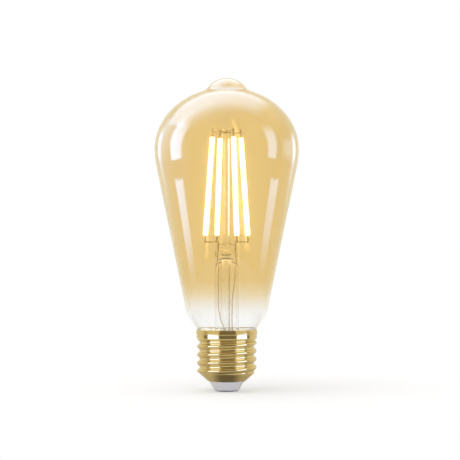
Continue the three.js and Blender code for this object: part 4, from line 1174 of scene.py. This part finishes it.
# The key is the one box that lights everything, and no mirror shows it.
key = softbox("key", round_the_lamp(GLASS_CENTRE, -50, 68, 1.0), GLASS_CENTRE, (0.9, 0.9), 1.0)
key.visible_glossy = False
for name, azimuth, elevation, size, level, edges, ends, roll in (
    ("tall_left", -87, 19, (0.34, 0.66), 15.0, PATCH, (1, 1, 1, 0.8), 0),
    ("tall_right", 76, 17, (0.25, 0.6), 9.0, PATCH, (1, 1, 1, 0.8), 0),
    ("low_left", -90, -19.1, (0.24, 0.115), 11.0, STRIP, (1, 1, 0.3, 1), -8),
    ("low_right", 90, -19.1, (0.24, 0.115), 8.0, STRIP, (1, 1, 0.1, 1), 8),
    ("rim_left", -134, 6, (0.22, 0.36), 3.6, RIM_FADE, EVEN, 0),
    ("rim_right", 134, 4, (0.22, 0.3), 5.0, RIM_FADE, EVEN, 0),
    ("side_left", -118, 8, (0.7, 0.62), 3.4, (0.4, 0.4, 0.45, 0.2), (1, 1, 0.3, 1), 0),
    ("wash_left", -84, 2, (0.62, 0.7), 1.4, RIM_FADE, (1, 1, 0.5, 1), 0),
    ("side_right", 112, 4, (0.5, 0.28), 2.4, (0.45, 0.45, 0.4, 0.4), EVEN, 0),
):
    place = round_the_lamp(GLASS_CENTRE, azimuth, elevation, SIDE)
    softbox(name, place, GLASS_CENTRE, size, level, edges, ends, roll, glass_pieces, COOL)

# Two boxes hang level above the lamp and look down: a bright one behind it, and a fainter one, hung a little
# higher, that reaches further forward. Two lamps in one plane would hide each other in a mirror.
for name, place, size, level, edges, ends in (
    ("sky", (-0.3, 0.42, 0.715), (1.6, 1.18), 9.0, (0.15, 0.15, 0.28, 0.4), (1, 0.45, 1, 0.4)),
    ("front_sky", (-0.45, 0.0, 0.74), (1.5, 0.9), 4.5, (0.2, 0.35, 0.5, 0.45), (1, 0.2, 1, 1)),
):
    place = Vector(place)
    softbox(name, place, place - Vector((0, 0, 1)), size, level, edges, ends, 0, glass_pieces, COOL)

# %% [markdown]
# The cap is a mirror too, and it has its own pair of boxes, one on each side of the camera. The last box
# lights only the ring of cement, and the glass casts no shadow there: on a lit lamp that ring is bright,
# because the filaments shine on it.

# %% Softboxes for the cap and the cement
cap_pieces = gather(
    "lit_by_the_cap_cards",
    ("rolled_brass_screw_shell", "moulded_base_insulator", "stamped_end_contact"),
)
CARD_FADE = (0.03, 0.03, 0.05, 0.05)
for name, azimuth, width in (("cap_card_left", -54, 0.42), ("cap_card_right", 61.5, 0.4)):
    place = round_the_lamp(CAP_CENTRE, azimuth, 0, 0.5)
    softbox(name, place, CAP_CENTRE, (width, 0.4), 3.5, CARD_FADE, only=cap_pieces, tint=COOLER)

seal_ring = gather("cement_seen_through_the_neck", ["cement_ring"])
seal = softbox("seal", round_the_lamp(CAP_CENTRE, 0, 48, 0.5), CAP_CENTRE, (0.5, 0.5), 9.0)
seal.visible_glossy = False
seal.light_linking.receiver_collection = seal_ring
seal.light_linking.blocker_collection = seal_ring

# %% [markdown]
# ## Render settings that glass needs
# A ray that crosses the lamp meets a dozen glass surfaces or more, so it gets more bounces than usual. The
# view transform is Standard, so that a colour comes out as it was written.

# %% Settings
scene = bpy.context.scene
scene.view_settings.view_transform = "Standard"
scene.cycles.max_bounces = 32
scene.cycles.transmission_bounces = 28
scene.cycles.glossy_bounces = 10
